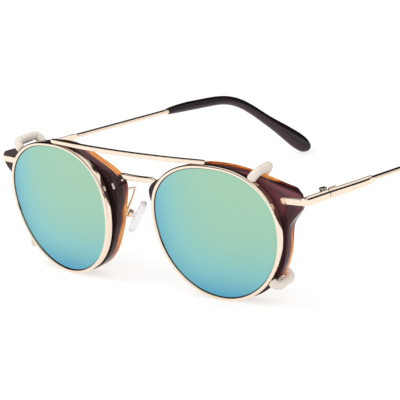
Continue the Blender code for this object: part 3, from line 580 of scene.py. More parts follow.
def streaked(made, length, width, strength, *stops):
    """Colours the material by the tone on its mesh, broken by streaks so many mm long and wide.

    Each stop is (tone, hex value), from the lightest colour to the darkest."""
    marks = node(made, "Attribute", {}, attribute_name="grain").outputs["Vector"]
    marks = node(made, "Mapping", {
        "Vector": marks, "Scale": (1 / length, 1 / length, 1 / width)}).outputs[0]
    noise = node(made, "TexNoise", {
        "Vector": marks, "Scale": 1.0, "Detail": 3.0, "Distortion": 0.6}).outputs["Fac"]
    noise = node(made, "MapRange", {"Value": noise, "From Min": 0.3, "From Max": 0.7,
                                    "To Min": -strength, "To Max": strength}).outputs[0]
    tone = node(made, "Attribute", {}, attribute_name="tone").outputs["Fac"]
    tone = node(made, "Math", {0: tone, 1: noise}, operation="ADD", use_clamp=True).outputs[0]
    ramp = node(made, "ValToRGB", {"Fac": tone})
    while len(ramp.color_ramp.elements) < len(stops):
        ramp.color_ramp.elements.new(0.5)
    for element, (place, code) in zip(ramp.color_ramp.elements, stops):
        element.position = place
        element.color = colour(code)
    feed(made, "Base Color", ramp.outputs["Color"])


# Dark acetate: maroon with black streaks about 12 mm long and 1.5 mm wide, polished like glass.
# Tumbling leaves both sheets faintly wavy, in waves 3 mm wide that bend the reflections.
dark_acetate = material("maroon_black_acetate", Roughness=0.10, IOR=1.49, Specular_IOR_Level=0.22)
streaked(dark_acetate, 12, 1.5, 0.25,
         (0.0, "#7E4A51"), (0.3, "#563237"), (0.7, "#3A2527"), (1.0, "#342425"))
rippled(dark_acetate, 2.857, 0.03, 0.0005)

# Amber acetate: honey with brown tortoise streaks 9 mm long and 0.8 mm wide, as glossy.
amber_acetate = material("amber_tortoise_acetate", Roughness=0.10, IOR=1.49, Specular_IOR_Level=0.4)
streaked(amber_acetate, 9, 0.8, 0.36, (0.0, "#FFB650"), (0.2, "#F89A3E"), (0.38, "#D06A2C"),
         (0.56, "#94421F"), (0.78, "#52231A"), (1.0, "#241010"))
rippled(amber_acetate, 2.857, 0.02, 0.0005)

quarter = [(1 - math.sin(math.radians(turn)), 1 - math.cos(math.radians(turn)))
           for turn in range(0, 91, 18)]
slope = (MITRE_JOINT_U - MITRE_BACK_U) / (RIM_BACK_D - RIM_JOINT_D)
front_thick = RIM_JOINT_D - RIM_FRONT_D
back_thick = RIM_BACK_D - RIM_JOINT_D
for label, side in SIDES:
    rows = [outer_row(side, RIM_ROUND * a, math.inf, RIM_FRONT_D + RIM_ROUND * b)
            for a, b in quarter]
    rows += [outer_row(side, 0, MITRE_JOINT_U, RIM_JOINT_D), inner_row(side, 0, RIM_JOINT_D)]
    rows += [inner_row(side, RIM_ROUND * a, RIM_FRONT_D + RIM_ROUND * b) for a, b in quarter[::-1]]
    depths = [RIM_ROUND * b for a, b in quarter] + [front_thick] * 2
    depths += [FRONT_WALL_GRAIN] * len(quarter)
    # How far back each row counts for its tone: the rounded edge hardly at all, the seam in full.
    shares = [b * 0.2 for a, b in quarter] + [1, 0.5] + [0] * len(quarter)
    fit(skin("front_sheet_" + label, rows, joined=True,
             grain=[grain_row(depth) for depth in depths],
             tone=[tone_row(DARK_TONES_AND_SHADE[label], share) for share in shares]),
        "front", "dark acetate", "rim_front_" + label, dark_acetate)

    rows = [outer_row(side, 0, MITRE_JOINT_U - slope * SEAM, RIM_JOINT_D + SEAM)]
    rows += [outer_row(side, BACK_ROUND * a, MITRE_BACK_U + slope * BACK_ROUND * b,
                       RIM_BACK_D - BACK_ROUND * b) for a, b in quarter[::-1]]
    rows += [inner_row(side, RIM_ROUND * a, RIM_BACK_D - RIM_ROUND * b) for a, b in quarter]
    rows += [inner_row(side, 0, REBATE_D), inner_row(side, REBATE_DEPTH, REBATE_D),
             inner_row(side, REBATE_DEPTH, RIM_JOINT_D + SEAM)]
    depths = [0] + [back_thick - BACK_ROUND * b for a, b in quarter[::-1]]
    depths += [BACK_WALL_GRAIN] * len(quarter) + [REBATE_GRAIN, REBATE_GRAIN, 0]
    fit(skin("back_sheet_" + label, rows, joined=True,
             grain=[grain_row(depth) for depth in depths],
             tone=[tone_row(AMBER_TONES[label], min(depth / back_thick, 1)) for depth in depths]),
        "front", "amber acetate", "rim_back_" + label, amber_acetate)


# Clear lenses
# Behind the clip sit plain lenses of clear optical resin, ground, polished and snapped into the
# rebate between the two sheets of each rim.
CLEAR_FRONT_D = 6.06
CLEAR_BACK_D = 7.60
CLEAR_DOME = 1.4
CLEAR_PLAY = 0.1

# Clear optical resin: cast and polished, so only its edge and its reflections show.
clear_resin = material("clear_optical_resin", Roughness=0.0, IOR=1.50, Transmission_Weight=1.0)
clouded(clear_resin, 25, "#FBFDFD", "#F6FAFA")

for label, side in SIDES:
    front, back = [[inner_row(side, -CLEAR_PLAY, d - CLEAR_DOME * (1 - share ** 2), share)
                    for share in (*LENS_SHARES, 1.0)] for d in (CLEAR_FRONT_D, CLEAR_BACK_D)]
    edge = [inner_row(side, REBATE_DEPTH - CLEAR_PLAY, d) for d in (CLEAR_FRONT_D, CLEAR_BACK_D)]
    fit(skin("clear_lens_" + label, front + edge + back[::-1]), "front", "clear lens",
        "lens_clear_" + label, clear_resin)


# Bridge and its rivets
# The bridge is a flat bar of nickel silver, pressed to shape with a leaf-shaped foot at each end
# that lies in a pocket of the amber sheet. A twin-headed steel rivet comes through the front.
BRIDGE_Y = 3.6
BRIDGE_Z = 12.95
BRIDGE_DIP = 0.15
BRIDGE_HALF_HEIGHT = 1.0
BRIDGE_HALF_THICK = 0.62
BRIDGE_ROUND = 0.35
BRIDGE_END_X = 5.8
BRIDGE_BEND = (-1.6, 2.7)
FOOT = (-25.2, 9.9, 6.70)
FOOT_RADIUS = 1.65
# The foot's leaf: (place along it, half width) as shares of its radius.
FOOT_LEAF = ((-1.0, 0.3), (-0.85, 0.6), (-0.5, 0.88), (0, 1.0), (0.5, 0.88), (0.9, 0.72))


def half_bridge(side):
    """Sections from one foot to just short of the middle: centre, across, up and half height."""
    normal = toward(side, 0, 0, 1)
    foot = on_rim(side, *FOOT)
    bend = on_rim(side, FOOT[0] + BRIDGE_BEND[0], FOOT[1] + BRIDGE_BEND[1], FOOT[2])
    way = (bend - foot).normalized()
    across = way.cross(normal).normalized()
    if across.z < 0:
        across = -across
    level = Vector((0, 0, 1))
    end = Vector((side * BRIDGE_END_X, BRIDGE_Y, BRIDGE_Z))
    spots = [(foot + way * FOOT_RADIUS * share, normal, across, FOOT_RADIUS * size)
             for share, size in FOOT_LEAF]
    spots.append((bend.lerp(end, 0.1), normal, (across + level).normalized(), BRIDGE_HALF_HEIGHT))
    spots.append((end, Vector((0, 1, 0)), level, BRIDGE_HALF_HEIGHT))
    spots.append((Vector((side * BRIDGE_END_X * 0.5, BRIDGE_Y, BRIDGE_Z - BRIDGE_DIP * 0.7)),
                  Vector((0, 1, 0)), level, BRIDGE_HALF_HEIGHT))
    return spots


spots = half_bridge(1) + [(Vector((0, BRIDGE_Y, BRIDGE_Z - BRIDGE_DIP)), Vector((0, 1, 0)),
                           Vector((0, 0, 1)), BRIDGE_HALF_HEIGHT)] + half_bridge(-1)[::-1]
run = along([(*centre, *across, *up, high) for centre, across, up, high in spots], 4)
rows = [section(Vector(spot[0:3]), Vector(spot[3:6]).normalized(), Vector(spot[6:9]).normalized(),
                BRIDGE_HALF_THICK, spot[9], BRIDGE_ROUND) for spot in run]
fit(skin("bridge_bar", rows), "front", "pale gold", "bridge", rose_gold)


def turned(name, start, direction, profile, count=32):
    """Turned piece from (distance, radius) steps along a direction."""
    direction = Vector(direction).normalized()
    across = direction.cross(Vector((0, 0, 1)) if abs(direction.z) < 0.9 else Vector((0, 1, 0)))
    across.normalize()
    up = across.cross(direction)
    return skin(name, [oval(Vector(start) + direction * distance, across, up, radius, radius, count)
                       for distance, radius in profile])


# Stainless steel, turned and tumbled: paler and cooler than the plate, with an even, fine grain.
# The real grain is too fine to show, so it is drawn 0.56 mm wide.
turned_steel = material("turned_stainless_steel", Metallic=1.0, Roughness=0.24)
grain = clouded(turned_steel, 0.5556, "#F0EEEB", "#DEDCDA")
feed(turned_steel, "Roughness", node(turned_steel, "MapRange", {
    "Value": grain, "To Min": 0.12, "To Max": 0.24}).outputs[0])

RIVET_HEAD_RADIUS = 0.64
RIVET_HEAD_RISE = 0.4
RIVET_SPREAD = (-0.16, -0.46)
RIVET_SUNK = 0.05
PIN_RADIUS = 0.5
for label, side in SIDES:
    back = toward(side, 0, 0, 1)
    start = on_rim(side, FOOT[0], FOOT[1], RIM_FRONT_D - RIVET_SUNK - RIVET_HEAD_RISE)
    dome = [(RIVET_HEAD_RISE * (1 - math.cos(math.radians(turn))),
             RIVET_HEAD_RADIUS * math.sin(math.radians(turn))) for turn in (8, 25, 42, 58, 74, 90)]
    dome += [(RIVET_HEAD_RISE + more, RIVET_HEAD_RADIUS) for more in (0.001, 0.03)]
    heads = [turned("head", start + toward(side, RIVET_SPREAD[0] * way, RIVET_SPREAD[1] * way, 0),
                    back, dome) for way in (1, -1)]
    pin_end = FOOT[2] + BRIDGE_HALF_THICK - RIM_FRONT_D + RIVET_HEAD_RISE
    pin = turned("rivet_" + label, start, back,
                 ((RIVET_HEAD_RISE - RIVET_SUNK, PIN_RADIUS), (pin_end, PIN_RADIUS)))
    carve(pin, *heads, operation="UNION")
    fit(pin, "front", "steel", "bridge_rivet_" + label, turned_steel)


# Endpieces, hinges and their screws
# A flat bar is let into the front sheet of each rim, screwed from behind and bent back to the
# hinge. Two pressed hinge leaves turn on a screw with a slotted head.
END_V = 11.2
END_HALF_HEIGHT = 1.20
END_HALF_THICK = 0.70
END_PROUD = 0.2
END_ROUND = 0.3
END_START_U = 23.7
END_BEND = 1.5
ARM_TALLER = 0.22
ARM_LOWER = 0.12
ARM_X = 66.65
ARM_END_Y = 19.8
HINGE_Z = 10.0
SCREW_U = 27.6
AXIS_X = 64.4
AXIS_Y = 19.95
KNUCKLE_RADIUS = 1.25
KNUCKLE_LENGTH = 0.78
KNUCKLE_PLAY = 0.05
LEAF_IN_X = 65.20
LEAF_OUT_X = 65.88
LEAF_LENGTH = 3.4
LEAF_REACH = 1.75
LEAF_BORE = 0.65
LEAF_SLOT_HALF_WIDTH = 2.58
LEAF_SLOT_HALF_LENGTH = 1.5
CONVERGENCE = 0.02
TEMPLE_DROP = math.radians(7.16)
HALF_BARREL = 1.5 * KNUCKLE_LENGTH + KNUCKLE_PLAY
# The screws from their heads on: (distance, radius). The shanks are straight.
END_SCREW_HEAD = ((0, 0.4), (0.01, 0.76), (0.04, 0.87), (0.1, 0.95), (0.35, 0.95), (0.45, 0.45))
END_SCREW_SUNK = 0.05
END_SCREW_SHORT = 0.35
PIVOT_HEAD = ((0, 0.3), (0.01, 1.0), (0.05, 1.16), (0.12, 1.26), (0.2, 1.3), (0.5, 1.3),
              (0.52, 0.5))
PIVOT_PROUD = 0.55
PIVOT_SLOT_DEPTH = 0.22
PIVOT_SLOT_HALF_WIDTH = 0.14


def arm_section(centre, out, up, half_thick, half_height, ridge):
    """Section of the bars beside the head: a ridge stands on a flat bar, as tall as ridge says.

    Each corner is (outward, up, radius)."""
    outline = rounded(((half_thick, -half_height, min(0.35, half_height * 0.5)),
                       (half_thick, half_height - 0.95 * ridge, 0.06),
                       (half_thick - 0.62 * ridge, half_height - 0.56 * ridge, 0.04),
                       (half_thick - 0.86 * ridge, half_height, 0.06),
                       (-half_thick, half_height, 0.06), (-half_thick, -half_height, 0.2)), 3)
    return [centre + out * a + up * b for a, b in outline]


def endpiece_rows(side):
    """Sections of the end bar, from its round start on the rim to the hinge."""
    up = Vector((0, 0, 1))
    normal = toward(side, 0, 0, 1)
    depth = RIM_FRONT_D - END_PROUD + END_HALF_THICK
    rows = []
    for turn in (15, 30, 45, 60, 75, 90):
        share = 1 - math.cos(math.radians(turn))
        high = END_HALF_HEIGHT * math.sin(math.radians(turn))
        rows.append(section(on_rim(side, END_START_U + share * END_HALF_HEIGHT, END_V, depth),
                            -normal, up, END_HALF_THICK, high, END_ROUND, 5))
    corner_u = (ARM_X - LENS_CENTRE_X + math.sin(FACE_WRAP) * depth) / math.cos(FACE_WRAP)
    corner = on_rim(side, corner_u, END_V, depth)
    for u in (SCREW_U, corner_u - END_BEND):
        rows.append(section(on_rim(side, u, END_V, depth), -normal, up, END_HALF_THICK,
                            END_HALF_HEIGHT, END_ROUND, 5))
    start = corner - toward(side, 1, 0, 0) * END_BEND
    finish = corner + Vector((0, END_BEND, 0))
    for step in range(1, 11):
        share = step / 10
        centre = start * (1 - share) ** 2 + corner * (2 * share * (1 - share)) + finish * share ** 2
        across = (normal * (1 - share) + Vector((-side, 0, 0)) * share).normalized()
        rows.append(arm_section(centre - up * ARM_LOWER * share, -across, up, END_HALF_THICK,
                                END_HALF_HEIGHT + ARM_TALLER * share, 0.1 + 0.9 * share))
    end = Vector((side * ARM_X, ARM_END_Y, HINGE_Z))
    for share in (0.15, 0.3, 0.97, 1.0):
        rows.append(arm_section(finish.lerp(end, share) - up * ARM_LOWER, Vector((side, 0, 0)), up,
                                END_HALF_THICK, END_HALF_HEIGHT + ARM_TALLER, 1.0))
    return rows


def leaf(name, side, direction, slots):
    """Pressed hinge leaf with rolled knuckles, slotted for the knuckles of the other leaf."""
    slope = CONVERGENCE if direction > 0 else 0
    fall = math.tan(TEMPLE_DROP) if direction > 0 else 0
    plan = [(LEAF_IN_X, LEAF_REACH + LEAF_LENGTH), (LEAF_OUT_X, LEAF_REACH + LEAF_LENGTH),
            (LEAF_OUT_X, LEAF_REACH - 0.2)]
    for turn in range(0, -301, -10):
        x, y = polar(KNUCKLE_RADIUS, turn)
        plan.append((AXIS_X + x, y))
    plan.append((LEAF_IN_X, LEAF_REACH))
    rows = []
    for z in (-1, -0.94, 0.94, 1):
        row = []
        for x, y in plan:
            reach = max(y - LEAF_REACH, 0)
            row.append(Vector((side * (x - slope * reach), AXIS_Y + direction * y,
                               HINGE_Z + z * HALF_BARREL - fall * reach)))
        rows.append(row)
    made = skin(name, rows)
    middle = Vector((side * AXIS_X, AXIS_Y, HINGE_Z))
    axis = Vector((0, 0, 1))
    tools = [turned(name + "_bore", middle - axis * 3, axis, ((0, LEAF_BORE), (6, LEAF_BORE)))]
    for ends in slots:
        tools.append(skin(name + "_slot", [
            section(middle + axis * z, Vector((1, 0, 0)), Vector((0, 1, 0)), LEAF_SLOT_HALF_WIDTH,
                    LEAF_SLOT_HALF_LENGTH, 0.1) for z in ends]))
    carve(made, *tools)
    return made


slot_end = KNUCKLE_LENGTH / 2 + KNUCKLE_PLAY
shank = RIM_BACK_D - RIM_FRONT_D - END_SCREW_SHORT
pivot_end = PIVOT_HEAD[-2][0] + 2 * HALF_BARREL
for label, side in SIDES:
    fit(skin("end_bar_" + label, endpiece_rows(side)), "front", "pale gold",
        "endpiece_" + label, rose_gold)
    fit(turned("end_screw_" + label, on_rim(side, SCREW_U, END_V, RIM_BACK_D - END_SCREW_SUNK),
               -toward(side, 0, 0, 1), (*END_SCREW_HEAD, (shank, END_SCREW_HEAD[-1][1]))),
        "front", "steel", "endpiece_screw_" + label, turned_steel)
    fit(leaf("leaf_on_front_" + label, side, -1, ((-slot_end, slot_end),)), "front", "pale gold",
        "hinge_leaf_" + label, rose_gold)
    fit(leaf("leaf_on_temple_" + label, side, 1,
             ((-4, -slot_end + KNUCKLE_PLAY), (slot_end - KNUCKLE_PLAY, 4))),
        "temple_" + label, "pale gold", "temple_leaf_" + label, rose_gold)
    top = Vector((side * AXIS_X, AXIS_Y, HINGE_Z + HALF_BARREL + PIVOT_PROUD))
    head = turned("pivot_screw_" + label, top, (0, 0, -1),
                  (*PIVOT_HEAD, (pivot_end, PIVOT_HEAD[-1][1])))
    slot = skin("slot", [section(top + Vector((0, 0, z)), Vector((0.6, 0.8, 0)),
                                 Vector((-0.8, 0.6, 0)), PIVOT_SLOT_HALF_WIDTH, 2, 0.01)
                         for z in (-PIVOT_SLOT_DEPTH, 0.3)])
    carve(head, slot)
    fit(head, "front", "steel", "hinge_screw_" + label, turned_steel)


# Temples
# Each temple is one drawn bar: flat and deep at the hinge, stepping down to a round rod that
# dips, bends behind the ear and runs as a core through the tip.
TEMPLE_START_Y = 20.1
TEMPLE_STRAIGHT = 88.65
TEMPLE_BEND_RADIUS = 61.8
TEMPLE_BEND = math.radians(35.5)
# Each sag is (depth, middle, spread) along the temple.
TEMPLE_SAGS = ((0.58, 92, 9), (1.35, 124, 13), (0.8, 146, 15))
TEMPLE_HALF_THICK = 0.70
CORE_RADIUS = 0.60
CORE_START = 70.7
CORE_LENGTH = 80.3
CORE_STEPS = 29
# Wide part: (length from the front end, half height, lift of its middle, how tall the ridge is).
TEMPLE_WIDE = ((0.0, 1.42, -0.15, 1.0), (8.0, 1.38, -0.25, 1.0), (16.0, 1.32, -0.28, 1.0),
               (20.2, 1.26, -0.18, 1.0), (21.4, 1.2, -0.12, 0.6), (22.0, 1.1, -0.06, 0.6),
               (22.8, 0.98, 0.0, 0.6))
# Rod: (length from the front end, radius).
TEMPLE_ROD = ((23.8, 0.85), (35.0, 0.85), (50.0, 0.85), (66.0, 0.85), (69.8, 0.95), (70.6, 0.95))
ROD_FIRST = math.radians(-70)
TIP_START = 70.9


def temple_station(side, s):
    """Centre of the temple at a length s from its front end, and its own up direction.

    The line is straight, a plain arc and straight again; the sags press it down a little."""
    drop = TEMPLE_DROP
    straight = min(s, TEMPLE_STRAIGHT)
    y, z = straight * math.cos(drop), -straight * math.sin(drop)
    turn = min(max(s - TEMPLE_STRAIGHT, 0) / TEMPLE_BEND_RADIUS, TEMPLE_BEND)
    y += TEMPLE_BEND_RADIUS * (math.sin(drop + turn) - math.sin(drop))
    z -= TEMPLE_BEND_RADIUS * (math.cos(drop) - math.cos(drop + turn))
    rest = max(s - TEMPLE_STRAIGHT - TEMPLE_BEND_RADIUS * TEMPLE_BEND, 0)
    y += rest * math.cos(drop + turn)
    z -= rest * math.sin(drop + turn)
    centre = Vector((side * (ARM_X - CONVERGENCE * y), TEMPLE_START_Y + y, HINGE_Z + z))
    up = Vector((0, math.sin(drop + turn), math.cos(drop + turn)))
    for depth, middle, spread in TEMPLE_SAGS:
        centre -= up * depth * math.exp(-((s - middle) / spread) ** 2)
    return centre, up


for label, side in SIDES:
    across = Vector((side, 0, 0))
    rows = []
    for s, high, lift, ridge in TEMPLE_WIDE:
        centre, up = temple_station(side, s)
        rows.append(arm_section(centre + up * lift, across, up, TEMPLE_HALF_THICK, high, ridge))
    rod = [*along(TEMPLE_ROD, 4)]
    rod += [(CORE_START + CORE_LENGTH * step / CORE_STEPS, CORE_RADIUS)
            for step in range(CORE_STEPS + 1)]
    for s, radius in rod:
        centre, up = temple_station(side, s)
        rows.append(oval(centre, across, up, radius, radius, len(rows[0]), start=ROD_FIRST))
    fit(skin("temple_bar_" + label, rows), "temple_" + label, "pale gold", "temple_" + label,
        rose_gold)


# Temple tips
# The tips are acetate sleeves, heated and pushed over the core, then bent and tumbled until
# they shine. They swell to a flat paddle behind the ear.
# Each is (length from the tip's front end, half height).
TIP_HALF_HEIGHTS = ((0.0, 1.15), (2.5, 1.4), (10.0, 1.7), (21.0, 1.72), (32.0, 1.64), (42.0, 1.7),
                    (50.0, 1.76), (57.0, 1.92), (64.0, 2.25), (71.0, 2.8), (78.0, 3.2), (82.5, 2.9),
                    (84.9, 1.9), (85.6, 0.9))
TIP_LENGTH = 85.6
TIP_POINTS = 28
TIP_GRAIN_RADIUS = 3
TIP_FRONT_HALF_THICK = 1.2
TIP_END_HALF_THICK = 1.85

# Near-black acetate: tumbled until it shines, with dark brown streaks 14 mm long. Its colour is
# painted near-black along the top of each tip and lighter maroon underneath, where the streaks
# show:
# painted shade and painted reflection. The gloss varies a little, in patches 4.5 mm wide.
SWIRL_SIZE = 4.545
tip_acetate = material("near_black_acetate", Roughness=0.16, IOR=1.49, Specular_IOR_Level=0.22)
streaked(tip_acetate, 14, 1.5, 0.15, (0.0, "#503A3F"), (0.5, "#281A1E"), (1.0, "#130B0D"))
place = node(tip_acetate, "TexCoord", {}).outputs["Object"]
swirl = node(tip_acetate, "TexNoise", {
    "Vector": place, "Scale": 1000 / SWIRL_SIZE, "Detail": 3.0, "Distortion": 0.8}).outputs["Fac"]
feed(tip_acetate, "Roughness", node(tip_acetate, "MapRange", {
    "Value": swirl, "To Min": 0.12, "To Max": 0.20}).outputs[0])

for label, side in SIDES:
    across = Vector((side, 0, 0))
    rows, grain, tone = [], [], []
    for s, high in along(TIP_HALF_HEIGHTS, 6):
        s = min(s, TIP_LENGTH)
        centre, up = temple_station(side, TIP_START + s)
        thick = TIP_FRONT_HALF_THICK + (TIP_END_HALF_THICK - TIP_FRONT_HALF_THICK) * s / TIP_LENGTH
        rows.append(oval(centre, across, up, min(thick, high), high, TIP_POINTS))
        around = [polar(1, 360 * step / TIP_POINTS) for step in range(TIP_POINTS)]
        grain.append([(s, TIP_GRAIN_RADIUS * a, TIP_GRAIN_RADIUS * b) for a, b in around])
        # Painted shade: the tone runs from darkest along the top of the tip to lightest along its
        # underside.
        tone.append([0.5 + 0.5 * b for a, b in around])
    fit(skin("tip_sleeve_" + label, rows, grain=grain, tone=tone), "temple_" + label, "tip acetate",
        "temple_tip_" + label, tip_acetate)


# Nose pads
# Each pad is moulded in clear silicone with a boss at its back. The boss rocks on a tiny screw
# in a folded metal box, which is brazed to a bent wire let into the back of the rim.
ARM_WIRE = 0.4
PAD_HOLE = (-25.6, 7.2)
PAD_WIRE_SUNK = 1.5
PAD_WIRE_STRAIGHT = 0.8
PAD_ARM_BOW = ((7.55, 2.9, -0.6), (7.6, 3.1, -1.0), (9.9, 3.0, -5.0), (12.3, 2.9, -8.6))
PAD_CENTRE = (10.6, 12.0, -4.9)
PAD_UP = (-0.503, 0.21, 0.838)
PAD_FACE = (-0.676, 0.506, -0.532)
PAD_HALF_WIDTH = 3.5
PAD_HALF_HEIGHT = 6.2
PAD_HALF_THICK = 1.2
PAD_FLAT_FACE = 0.60
PAD_FLAT_BACK = 0.80
PAD_POINTS = 40
BOSS_RADIUS = 0.62
BOSS_HALF_HEIGHT = 0.775
BOSS_LENGTH = 1.9
BOSS_PLAY = 0.15
BOX_HALF_WIDTH = 1.12
BOX_WALL = 0.32
BOX_DEPTH = 1.7
BOX_HALF_LENGTH = 0.95
PAD_SCREW_HOLE = 0.5
PAD_SCREW_HEAD = ((0, 0.2), (0.01, 0.48), (0.05, 0.56), (0.12, 0.6), (0.35, 0.6), (0.36, 0.35))
PAD_SCREW_PROUD = 0.4

# Clear silicone: see-through with a faint milky cast and a satin skin from the mould. Its IOR is
# below silicone's own 1.41, so that the pads stay as light as in the photograph.
clear_silicone = material("clear_silicone", Roughness=0.3, IOR=1.25, Transmission_Weight=0.93)
cloud = clouded(clear_silicone, 2.5, "#FAF8FB", "#F0ECF2")
feed(clear_silicone, "Roughness", node(clear_silicone, "MapRange", {
    "Value": cloud, "To Min": 0.24, "To Max": 0.36}).outputs[0])

for label, side in SIDES:
    up = Vector((PAD_UP[0] * side, PAD_UP[1], PAD_UP[2])).normalized()
    face = Vector((PAD_FACE[0] * side, PAD_FACE[1], PAD_FACE[2]))
    face = (face - up * face.dot(up)).normalized()
    wide = up.cross(face) * side
    centre = Vector((PAD_CENTRE[0] * side, PAD_CENTRE[1], PAD_CENTRE[2]))
    pivot = centre - face * (PAD_HALF_THICK + BOSS_LENGTH * 0.5)
    rows = [oval(centre - face * (PAD_HALF_THICK + back), wide, up, BOSS_RADIUS, BOSS_HALF_HEIGHT,
                 PAD_POINTS, 0.6) for back in (BOSS_LENGTH, 0.1)]
    for turn in range(-90, 91, 15):
        flat = PAD_FLAT_FACE if turn > 0 else PAD_FLAT_BACK
        size = flat + (1 - flat) * abs(math.cos(math.radians(turn))) ** 0.7
        rows.append(oval(centre + face * (PAD_HALF_THICK * math.sin(math.radians(turn))), wide, up,
                         PAD_HALF_WIDTH * size, PAD_HALF_HEIGHT * size, PAD_POINTS))
    pad = skin("pad_" + label, rows)
    screw_hole = ((0, PAD_SCREW_HOLE), (8, PAD_SCREW_HOLE))
    carve(pad, turned("bore", pivot - wide * 4, wide, screw_hole, 16))
    fit(pad, "pad_" + label, "pad silicone", "nose_pad_" + label, clear_silicone)

    base = pivot - face * (BOSS_LENGTH * 0.5 + BOSS_PLAY + BOX_WALL)
    inside = BOX_HALF_WIDTH - BOX_WALL
    profile = rounded(((-BOX_HALF_WIDTH, 0, 0.3), (BOX_HALF_WIDTH, 0, 0.3),
                       (BOX_HALF_WIDTH, BOX_DEPTH, 0.12), (inside, BOX_DEPTH, 0.12),
                       (inside, BOX_WALL, 0.1), (-inside, BOX_WALL, 0.1),
                       (-inside, BOX_DEPTH, 0.12), (-BOX_HALF_WIDTH, BOX_DEPTH, 0.12)), 3)
    box = skin("pad_cradle_" + label, [[base + wide * w + face * n + up * (BOX_HALF_LENGTH * end)
                                        for w, n in profile] for end in (-1, 1)])
    carve(box, turned("bore", pivot - wide * 4, wide, screw_hole, 16))
    fit(box, "front", "pale gold", "pad_box_" + label, rose_gold)
    shank = (PAD_SCREW_PROUD + 2 * BOX_HALF_WIDTH, PAD_SCREW_HEAD[-1][1])
    fit(turned("cradle_screw_" + label, pivot - wide * (BOX_HALF_WIDTH + PAD_SCREW_PROUD), wide,
               (*PAD_SCREW_HEAD, shank)),
        "front", "steel", "pad_screw_" + label, turned_steel)

    hole = on_rim(side, *PAD_HOLE, RIM_BACK_D - PAD_WIRE_SUNK)
    mouth = on_rim(side, *PAD_HOLE, RIM_BACK_D + PAD_WIRE_STRAIGHT)
    end = base - face * 0.05
    lead = end - face * 0.9
    bows = [Vector((side * x, mouth.y + y, mouth.z + z)) for x, y, z in PAD_ARM_BOW]
    path = along([hole, mouth, *bows, lead + up * 0.8, lead, end], 5)
    fit(skin("pad_wire_" + label, tube(path, [ARM_WIRE] * len(path), Vector((side, 0.2, 0.1)), 14)),
        "front", "pale gold", "pad_arm_" + label, rose_gold)


# Studio
# A white table under soft daylight lamps. The floor takes the shadows; to the camera and in
# reflections it is as white as the backdrop.
TABLE_HALF = 4
TABLE_GLOW = 0.72
DAYLIGHT = 0.72


def seen(made):
    """One where the camera, a reflection or glass looks, zero for the light on the glasses."""
    ray = node(made, "LightPath", {})
    share = ray.outputs["Is Camera Ray"]
    for other in ("Is Glossy Ray", "Is Transmission Ray"):
        share = node(made, "Math", {
            0: share, 1: ray.outputs[other]}, operation="MAXIMUM").outputs[0]
    return share


# White card: matt and even, its 33 mm patches too faint to see, with no gloss under the glasses.
white_card = material("white_table_card", Roughness=0.8, Specular_IOR_Level=0.0,
                      Emission_Color=(1, 0.97, 0.95, 1))
place = node(white_card, "TexCoord", {}).outputs["Object"]
fibre = node(white_card, "TexNoise", {"Vector": place, "Scale": 30.0}).outputs["Fac"]
card_white = node(white_card, "Mix", {
    0: fibre, 6: colour("#FBFBFB"), 7: colour("#FCFCFC")}, data_type="RGBA").outputs[2]
shown = seen(white_card)
feed(white_card, "Emission Strength", node(white_card, "Math", {
    0: shown, 1: TABLE_GLOW}, operation="MULTIPLY").outputs[0])
feed(white_card, "Base Color", node(white_card, "Mix", {
    0: shown, 6: card_white, 7: colour("#A6AAAC")}, data_type="RGBA").outputs[2])

table_mesh = bpy.data.meshes.new("table")
table_mesh.from_pydata([(x * TABLE_HALF, y * TABLE_HALF, 0)
                        for x, y in ((-1, -1), (1, -1), (1, 1), (-1, 1))], [], [(0, 1, 2, 3)])
table_mesh.materials.append(white_card)
placed("table", table_mesh)

# Black card stands far round the table and lies beyond its end. Only reflections see it: it
# draws the dark lines along the upper edges of polished metal, as the dark room behind a light
# tent does. Each standing card is (lowest, highest, from, to) in degrees as the glasses see it,
# each lying one (nearest, furthest, from, to) in metres and degrees.
CARD_DISTANCE = 2.0
CARD_RISE = 0.002
CARD_STEP = 9
STANDING_CARDS = ((0.1, 4.5, 0, 360), (4.5, 48, 58, 275), (4.5, 48, 340, 390))
LYING_CARDS = ((0.62, 2.0, 0, 360), (0.2, 0.62, 58, 112))
card_points, card_faces = [], []
cards = [(start, finish, (CARD_DISTANCE, CARD_DISTANCE * math.tan(math.radians(low))),
          (CARD_DISTANCE, CARD_DISTANCE * math.tan(math.radians(high))))
         for low, high, start, finish in STANDING_CARDS]
cards += [(start, finish, (near, CARD_RISE), (far, CARD_RISE))
          for near, far, start, finish in LYING_CARDS]
for start, finish, low, high in cards:
    count = round((finish - start) / CARD_STEP)
    for step in range(count):
        first = len(card_points)
        here, after = [start + (finish - start) * place / count for place in (step, step + 1)]
        corners = ((here, low), (after, low), (after, high), (here, high))
        card_points += [(*polar(reach, turn), rise) for turn, (reach, rise) in corners]
        card_faces.append((first, first + 1, first + 2, first + 3))
card_mesh = bpy.data.meshes.new("black_card")
card_mesh.from_pydata(card_points, [], card_faces)
black_card = placed("black_card", card_mesh)
black_card.visible_camera = False
black_card.visible_diffuse = False
black_card.visible_transmission = False
black_card.visible_shadow = False

# Black felt on the card: dull, so its reflection is an even near-black.
card_felt = material("black_felt", Roughness=1.0, Specular_IOR_Level=0.0)
feed(card_felt, "Base Color", node(card_felt, "Mix", {
    0: node(card_felt, "TexNoise", {"Scale": 8.0}).outputs["Fac"],
    6: colour("#2B2521"), 7: colour("#352D28")}, data_type="RGBA").outputs[2])
card_mesh.materials.append(card_felt)

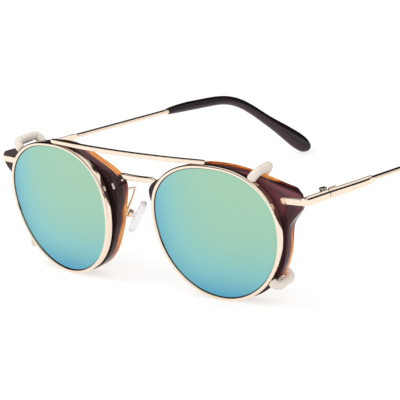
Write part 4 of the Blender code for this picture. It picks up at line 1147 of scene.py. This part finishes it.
world = bpy.data.worlds.new("white_studio")
world.use_nodes = True
bpy.context.scene.world = world
backdrop = world.node_tree.nodes["Background"]
backdrop.inputs["Color"].default_value = (1, 1, 1, 1)
strength = node(world, "MapRange", {"Value": seen(world), "To Min": DAYLIGHT, "To Max": 1.0})
world.node_tree.links.new(strength.outputs[0], backdrop.inputs["Strength"])

# Each lamp is (name, place in metres, width, watts). None shows in a reflection.
LAMPS = (("key", (-0.5, -0.35, 0.75), 0.5, 2.2), ("fill", (0.6, -0.6, 0.7), 0.6, 0.8))
AIM = Vector((0, 0, 0.02))
for name, spot, size, energy in LAMPS:
    lamp = bpy.data.lights.new(name, "AREA")
    lamp.size = size
    lamp.energy = energy
    holder = placed(name, lamp)
    holder.location = spot
    holder.rotation_euler = (AIM - Vector(spot)).to_track_quat("-Z", "Y").to_euler()
    holder.visible_glossy = False


# Camera
# The camera stands in front of the wearer's left side, a little above, slightly rolled. Its place,
# roll and lens were solved from the outlines of the glasses in the photograph.
AZIMUTH, ELEVATION, ROLL = (math.radians(value) for value in (43.356, 18.856, -8.172))
DISTANCE = 864.87
FOCAL = 244.86
TARGET = Vector((29.895, 0, 10.311))
back = Vector((math.sin(AZIMUTH) * math.cos(ELEVATION), -math.cos(AZIMUTH) * math.cos(ELEVATION),
               math.sin(ELEVATION)))
right = Vector((math.cos(AZIMUTH), math.sin(AZIMUTH), 0))
up = back.cross(right)
tilted_right = right * math.cos(ROLL) + up * math.sin(ROLL)
tilted_up = up * math.cos(ROLL) - right * math.sin(ROLL)
eye = (TARGET + back * DISTANCE) * 0.001
lens = bpy.data.cameras.new("camera")
lens.sensor_width = 36
lens.lens = FOCAL
lens.clip_start = 0.01
camera = placed("camera", lens)
camera.matrix_world = STANDING @ Matrix((
    (tilted_right.x, tilted_up.x, back.x, eye.x), (tilted_right.y, tilted_up.y, back.y, eye.y),
    (tilted_right.z, tilted_up.z, back.z, eye.z), (0, 0, 0, 1)))
bpy.context.scene.camera = camera
bpy.context.scene.view_settings.view_transform = "Standard"
